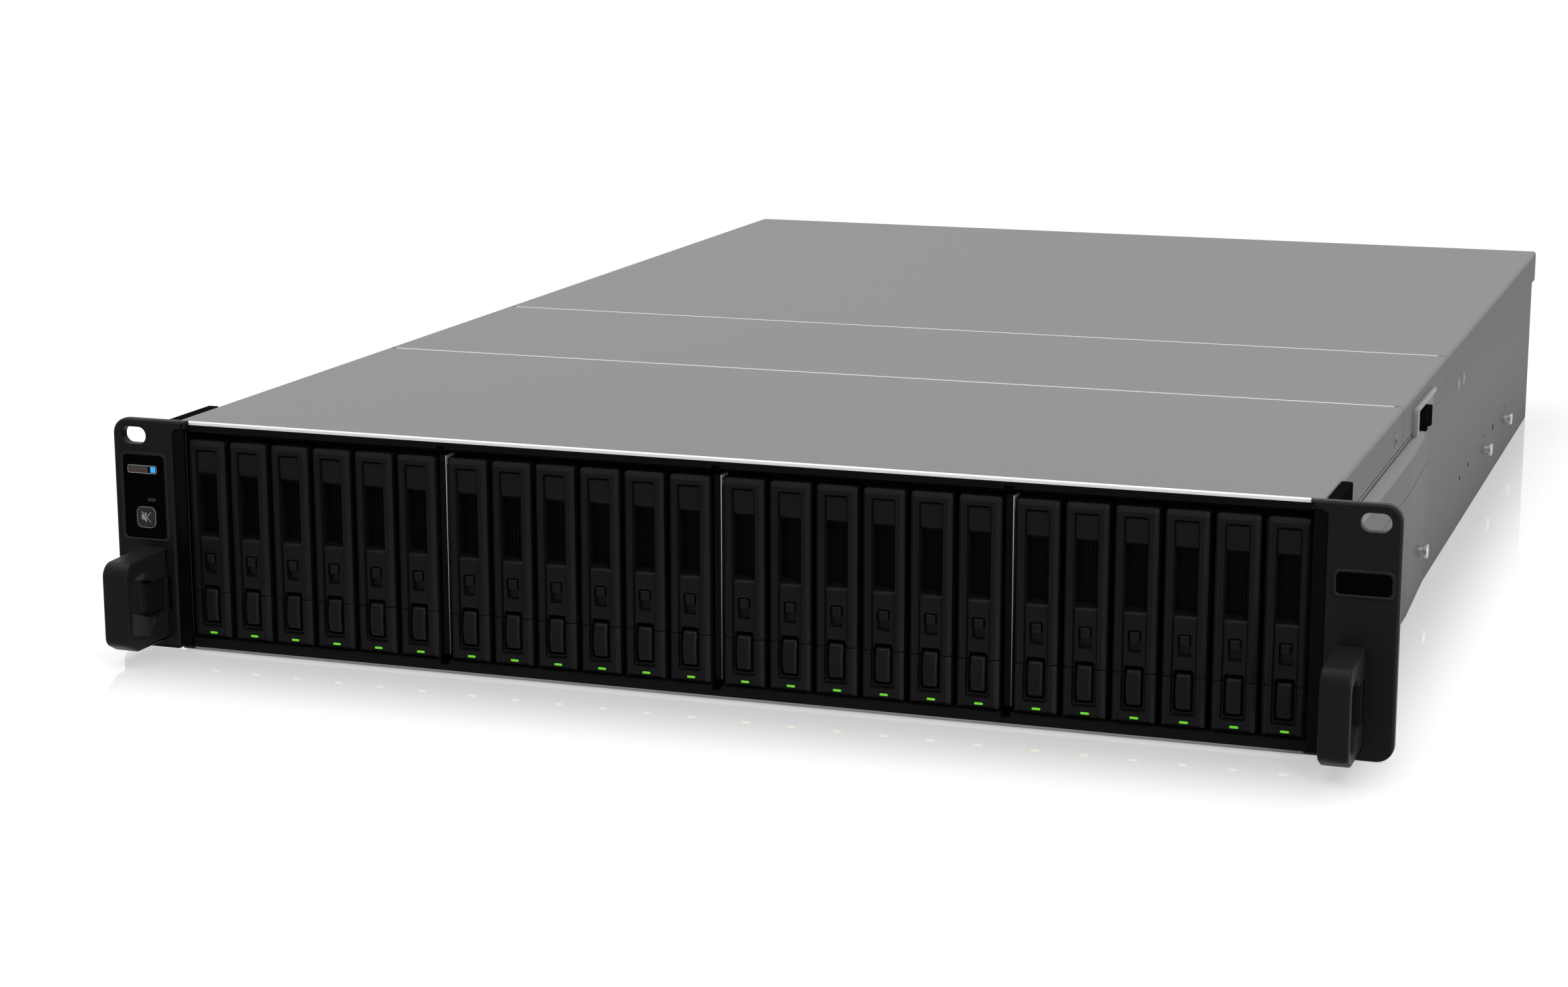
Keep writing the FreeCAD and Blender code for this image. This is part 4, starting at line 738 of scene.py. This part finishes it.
GROUP_PITCH = 106.97
divider_steel = finish("divider_steel", (0.8, 0.8, 0.8), 0.36, 0.4, scale=900, bump=0.001, mottle=0.02)
edge_line = rounded([(-211, 0.05), (211, 0.05), (211, 1.1), (-211, 1.1)], 0.3, 2)
sill = panel(edge_line, [], FACE - 0.75, FACE + 0.5, 0.25, rounds=2)
make("bottom_sheet_edge", [(sill, 0)], "chassis", [latch_grey])
for k, x in enumerate((-GROUP_PITCH, 0, GROUP_PITCH), 1):
    skin = brick((x + 1.28, x + 1.5), (FACE + 2.1, FACE + 90), (6.6, 81.4))
    make(f"divider_skin_{k}", [(skin, 0)], "chassis", [divider_steel])
for k, y in enumerate(JOINT_MIDS, 1):
    ends = [(brick(sorted((m * 211.5, m * 213.0)), (y - 0.62, y + 0.62), (86.5, 88.06)), 0) for m in (-1, 1)]
    make(f"joint_slits_{k}", ends, "chassis", [hole_black])

# ---------------------------------------------------------------- rear fittings
# What stands on the rear face: mains inlet, exhaust grille, lamp and sleeved pull of each power
# supply, the shells and thumbscrews of the expander module, and the screws of the rear wall.

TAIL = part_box("chassis_base")[1].y / MM            # outer face of the rear wall
PSU_LEFT = -206.0
THUMB = [(3.6, -0.5), (3.6, 0.4), (3.3, 0.6), (3.3, 4.6), (3.0, 5.0), (1.2, 5.0), (1.0, 4.5), (0.2, 4.5)]
REAR_HEAD = [(2.7, -0.3), (2.7, 0.9), (2.3, 1.35), (1.1, 1.5), (1.0, 0.9), (0.2, 0.9)]
HEX_PITCH, HEX_RISE = 3.6, 3.12                    # spacing of the grille's holes, across and up
brass = finish("contact_brass", (0.62, 0.48, 0.2), 0.3, 1.0, scale=900, bump=0.003)
for node, low in (("psu_lower", 2.4), ("psu_upper", 44.4)):
    cx, cz = PSU_LEFT + 20.5, low + 19
    inlet = rounded([(cx - 11, cz - 7), (cx + 11, cz - 7), (cx + 11, cz + 3), (cx + 7, cz + 7), (cx - 7, cz + 7),
                     (cx - 11, cz + 3)], 0.8, 3)
    bezel = panel(frame_box(cx, cz, 28.5, 20.5, 2.0), [inlet], TAIL - 0.05, TAIL + 1.4, 0.5)
    # painted shade: a dark plate behind the inlet for its dark well
    well = brick((cx - 12, cx + 12), (TAIL - 12.5, TAIL - 12), (cz - 8, cz + 8))
    pins = [(brick((cx + dx - 1, cx + dx + 1), (TAIL - 12.2, TAIL - 2), (cz + dz - 2, cz + dz + 2), 0.4), 2)
            for dx, dz in ((-6, -1.5), (0, 2), (6, -1.5))]
    cx, cz = PSU_LEFT + 53.5, low + 19.5
    mesh_holes = [circle(cx - 12.6 + HEX_PITCH * (i + j % 2 / 2), cz - 10.9 + HEX_RISE * j, 1.55, 6, math.pi / 6)
                  for j in range(8) for i in range(8 - j % 2)]
    grille = panel(frame_box(cx, cz, 32.5, 28.5, 2.5), mesh_holes, TAIL + 0.25, TAIL + 1.0, 0.12, rounds=1)
    # painted shade: a dark plate behind the grille for the dark inside
    dark = brick((cx - 15.5, cx + 15.5), (TAIL - 0.3, TAIL + 0.2), (cz - 13.5, cz + 13.5))
    sign = panel(frame_box(PSU_LEFT + 82.3, low + 36.3, 2.6, 1.6, 0.5, 3), [], TAIL - 0.1, TAIL + 0.4, 0.15)
    sleeve = panel(frame_box(PSU_LEFT + 77, TAIL + 38.15, 7.4, 7.1, 1.4, 4), [], low + 11.5, low + 28.1, 0.6, "z", 3)
    tab = panel(frame_box(PSU_LEFT + 77, low + 38.1, 14, 1.6, 0.6, 3), [], TAIL - 0.1, TAIL + 9, 0.4)
    make(f"{node}_fittings", [(bezel, 0), (well, 1), *pins, (grille, 3), (dark, 1), (sign, 4), (sleeve, 0), (tab, 0)],
         node, [moulding, hole_black, brass, screw_steel, green_lamp])
parts = []
for k in range(4):
    cx, cz = -77 + 32 * k, 18
    shell = panel(frame_box(cx, cz, 24.6, 12.6, 1.4), [frame_box(cx, cz, 21.4, 9.4, 0.9)], TAIL + 1.5, TAIL + 3.4, 0.3)
    tongue = brick((cx - 8.6, cx + 8.6), (TAIL - 10, TAIL + 0.8), (cz - 0.9, cz + 0.9), 0.3)
    parts += [(shell, 0), (tongue, 1)]
    parts += [(brick((cx - 8 + 1.25 * i, cx - 7.3 + 1.25 * i), (TAIL - 9, TAIL + 0.5), (cz + 0.88, cz + 1.0)), 2)
              for i in range(13)]
    parts += [(panel(frame_box(cx + dx, 28.6, 2.4, 1.4, 0.4, 3), [], TAIL + 1.5, TAIL + 1.9, 0.12), 3)
              for dx in (-4, 4)]
parts += [(turned(THUMB, x, 35.2, TAIL + 1.6, 0, 28), 0) for x in (-93.5, 33.5)]
make("expander_fittings", parts, "chassis", [screw_steel, shadow_plastic, brass, green_lamp])
screws = [(turned(REAR_HEAD, x, z, TAIL, 0, 24), 0)
          for x, z in ((60, 8), (130, 8), (206, 8), (206, 43), (206, 80), (-110.5, 8), (-110.5, 80))]
make("rear_screws", screws, "chassis", [screw_steel])

# ---------------------------------------------------------------- looks of the carried solids
# The chassis base, drive cage, bay frame, fans, backplane and rear modules keep the shape they
# have in the frame. They take their finish here, and deep or low surfaces are darkened with painted shade.

fan_black = finish("fan_plastic", (0.015, 0.015, 0.016), 0.5, scale=700, bump=0.03)
casing = finish("plated_casing", (0.42, 0.43, 0.44), 0.38, 0.8, scale=420, stretch=0.3, mottle=0.04, bump=0.008)
mask_green = finish("circuit_board", (0.012, 0.09, 0.035), 0.35, scale=300, bump=0.04)


def shaded_by(made, axis, near, far, darkest, power=1.0):
    """Multiplies the colour by a ramp along one axis of the piece, the same on both sides of its
    middle: darkest at near, whole at far. This paints shade into the colour."""
    nodes, link = made.node_tree.nodes, made.node_tree.links.new
    place, split = nodes.new("ShaderNodeTexCoord"), nodes.new("ShaderNodeSeparateXYZ")
    link(place.outputs["Object"], split.inputs[0])
    apart, curve = nodes.new("ShaderNodeMath"), nodes.new("ShaderNodeMath")
    ramp, scale = nodes.new("ShaderNodeMapRange"), nodes.new("ShaderNodeMapRange")
    apart.operation, curve.operation = "ABSOLUTE", "POWER"
    link(split.outputs[axis], apart.inputs[0])
    ramp.inputs["From Min"].default_value, ramp.inputs["From Max"].default_value = near * MM, far * MM
    link(apart.outputs[0], ramp.inputs["Value"])
    curve.inputs[1].default_value = power
    link(ramp.outputs["Result"], curve.inputs[0])
    scale.inputs["To Min"].default_value = darkest
    link(curve.outputs[0], scale.inputs["Value"])
    base = nodes["Principled BSDF"].inputs["Base Color"]
    tint = nodes.new("ShaderNodeMix")
    tint.data_type, tint.blend_type = "RGBA", "MULTIPLY"
    tint.inputs["Factor"].default_value = 1
    link(base.links[0].from_socket, tint.inputs["A"])
    link(scale.outputs["Result"], tint.inputs["B"])
    link(tint.outputs["Result"], base)


# painted shade: the chassis side steel darkens towards its lower edge
shaded_by(side_grey, "Z", 0, 50, 0.3, 0.5)
# painted shade: the divider's zinc darkens towards its foot, deep between the trays
shaded_by(divider_steel, "Z", 8, 78, 0.12, 1.2)
# painted shade: the bay frame is a darker copy of the moulding, darkened further behind the face plane and at its ends
# beside the ears
frame_black = finish("bay_frame_moulding", (0.0075, 0.0075, 0.0078), 0.45, scale=1600, bump=0.008, mottle=0.12,
                     specular=0.04)
shaded_by(frame_black, "Y", -FACE - 1.6, -FACE + 0.1, 0.2)
shaded_by(frame_black, "X", 211.6, 211.2, 0.2)
# the drive cage takes the near-black painted shade
looks = {"chassis_base": side_grey, "drive_cage": shadow_plastic, "bay_frame": frame_black, "backplane": mask_green,
         "fan_frames": fan_black, **{f"fan_rotor_{k}": fan_black for k in range(1, 5)},
         **dict.fromkeys(("expander_module", "psu_lower", "psu_upper"), casing)}
for node, look in looks.items():
    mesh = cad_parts[node].data
    mesh.materials.clear()
    mesh.materials.append(look)

# ---------------------------------------------------------------- studio
# A pale floor with a faint gloss that carries the object's shadow and fades into a white
# surround, three soft lamps, and the camera.

FLOOR, FLOOR_Z = 6, -0.0004                        # half the floor's size and its height
FOOTPRINT = (0.216, 0.333, 0)                      # half the object's size on the floor


def op(tree, kind, *values, what="ShaderNodeMath"):
    """One sum on numbers or vectors: each value is a constant, or another node's output."""
    made = tree.nodes.new(what)
    made.operation = kind
    for k, v in enumerate(values):
        if hasattr(v, "links"):
            tree.links.new(v, made.inputs[k])
        else:
            made.inputs[k].default_value = v
    return made.outputs["Value" if kind == "LENGTH" or what == "ShaderNodeMath" else "Vector"]


def vector_op(tree, kind, *values):
    """The same for vectors."""
    return op(tree, kind, *values, what="ShaderNodeVectorMath")


def fade(tree, source, near, far, at_near, at_far):
    """Goes smoothly from one value at near to another at far."""
    made = tree.nodes.new("ShaderNodeMapRange")
    made.interpolation_type = "SMOOTHSTEP"
    for name, v in zip(("From Min", "From Max", "To Min", "To Max"), (near, far, at_near, at_far)):
        made.inputs[name].default_value = v
    tree.links.new(source, made.inputs["Value"])
    return made.outputs["Result"]


def looked_at(tree):
    """1 for a ray from the camera, off a mirror or through clear glass, 0 for one that carries light."""
    rays = tree.nodes.new("ShaderNodeLightPath").outputs
    return op(tree, "MAXIMUM", rays["Is Camera Ray"],
              op(tree, "MAXIMUM", rays["Is Glossy Ray"], rays["Is Transmission Ray"]))


floor_mesh = bpy.data.meshes.new("floor")
floor_mesh.from_pydata([(x * FLOOR, y * FLOOR, FLOOR_Z) for x, y in ((-1, -1), (1, -1), (1, 1), (-1, 1))], [],
                       [(0, 1, 2, 3)])
floor = bpy.data.objects.new("floor", floor_mesh)
bpy.context.scene.collection.objects.link(floor)
pale = bpy.data.materials.new("pale_floor")
pale.use_nodes = True
tree = pale.node_tree
nodes, link = tree.nodes, tree.links.new
nodes.remove(nodes["Principled BSDF"])
place = nodes.new("ShaderNodeTexCoord").outputs["Object"]
beyond = vector_op(tree, "SUBTRACT", vector_op(tree, "ABSOLUTE", place), FOOTPRINT)
around = vector_op(tree, "MAXIMUM", beyond, (0, 0, 0))
away = vector_op(tree, "LENGTH", around)
stretched = vector_op(tree, "LENGTH", vector_op(tree, "MULTIPLY", around, (2.1, 1, 0)))
seen = looked_at(tree)
paint = nodes.new("ShaderNodeMix")
paint.data_type = "RGBA"
paint.inputs["A"].default_value, paint.inputs["B"].default_value = (0.2, 0.2, 0.2, 1), (0.42, 0.42, 0.42, 1)
link(seen, paint.inputs["Factor"])
matt, mirror = nodes.new("ShaderNodeBsdfDiffuse"), nodes.new("ShaderNodeBsdfGlossy")
clear, glow = nodes.new("ShaderNodeBsdfTransparent"), nodes.new("ShaderNodeEmission")
lit, first, last = nodes.new("ShaderNodeAddShader"), nodes.new("ShaderNodeMixShader"), nodes.new("ShaderNodeMixShader")
link(paint.outputs["Result"], matt.inputs["Color"])
link(op(tree, "MULTIPLY", seen, 0.8), glow.inputs["Strength"])
mirror.inputs["Roughness"].default_value = 0.012
link(matt.outputs[0], lit.inputs[0])
link(glow.outputs[0], lit.inputs[1])
link(fade(tree, stretched, 0.0, 0.085, 0.42, 0.0), first.inputs[0])
link(lit.outputs[0], first.inputs[1])
link(mirror.outputs[0], first.inputs[2])
link(fade(tree, away, 0.12, 0.55, 0.0, 1.0), last.inputs[0])
link(first.outputs[0], last.inputs[1])
link(clear.outputs[0], last.inputs[2])
link(last.outputs[0], nodes["Material Output"].inputs["Surface"])
floor_mesh.materials.append(pale)

world = bpy.data.worlds.new("surround")
bpy.context.scene.world = world
world.use_nodes = True
tree = world.node_tree
white = tree.nodes["Background"]
white.inputs["Color"].default_value = (1, 1, 1, 1)
tree.links.new(op(tree, "MULTIPLY_ADD", looked_at(tree), 0.88, 0.12), white.inputs["Strength"])


def lamp(name, place, target, width, height, power):
    """A soft rectangular lamp that faces a target."""
    data = bpy.data.lights.new(name, "AREA")
    data.shape, data.size, data.size_y, data.energy = "RECTANGLE", width, height, power
    made = bpy.data.objects.new(name, data)
    made.location = place
    made.rotation_euler = (Vector(target) - Vector(place)).to_track_quat("-Z", "Y").to_euler()
    bpy.context.scene.collection.objects.link(made)


lamp("overhead", (-0.5, -0.2, 2.6), (0, 0, 0), 2.4, 2.4, 38)
lamp("front_right", (0.95, -1.35, 1.6), (0.1, -0.33, 0.05), 0.32, 0.32, 7)
lamp("side", (1.9, -0.85, 0.5), (0.25, -0.3, 0.05), 0.8, 0.5, 9)

camera_data = bpy.data.cameras.new("camera")
camera_data.lens, camera_data.sensor_width = 71.3, 36
camera_data.shift_x, camera_data.shift_y = -0.0091, 0.0073
camera_data.clip_start = 0.01
camera = bpy.data.objects.new("camera", camera_data)
camera.location = (0.37733, -1.33463, 0.30402)
camera.rotation_euler = (math.pi / 2 - 0.214, 0, 0.332)
bpy.context.scene.collection.objects.link(camera)
bpy.context.scene.camera = camera
bpy.context.scene.view_settings.view_transform = "Standard"
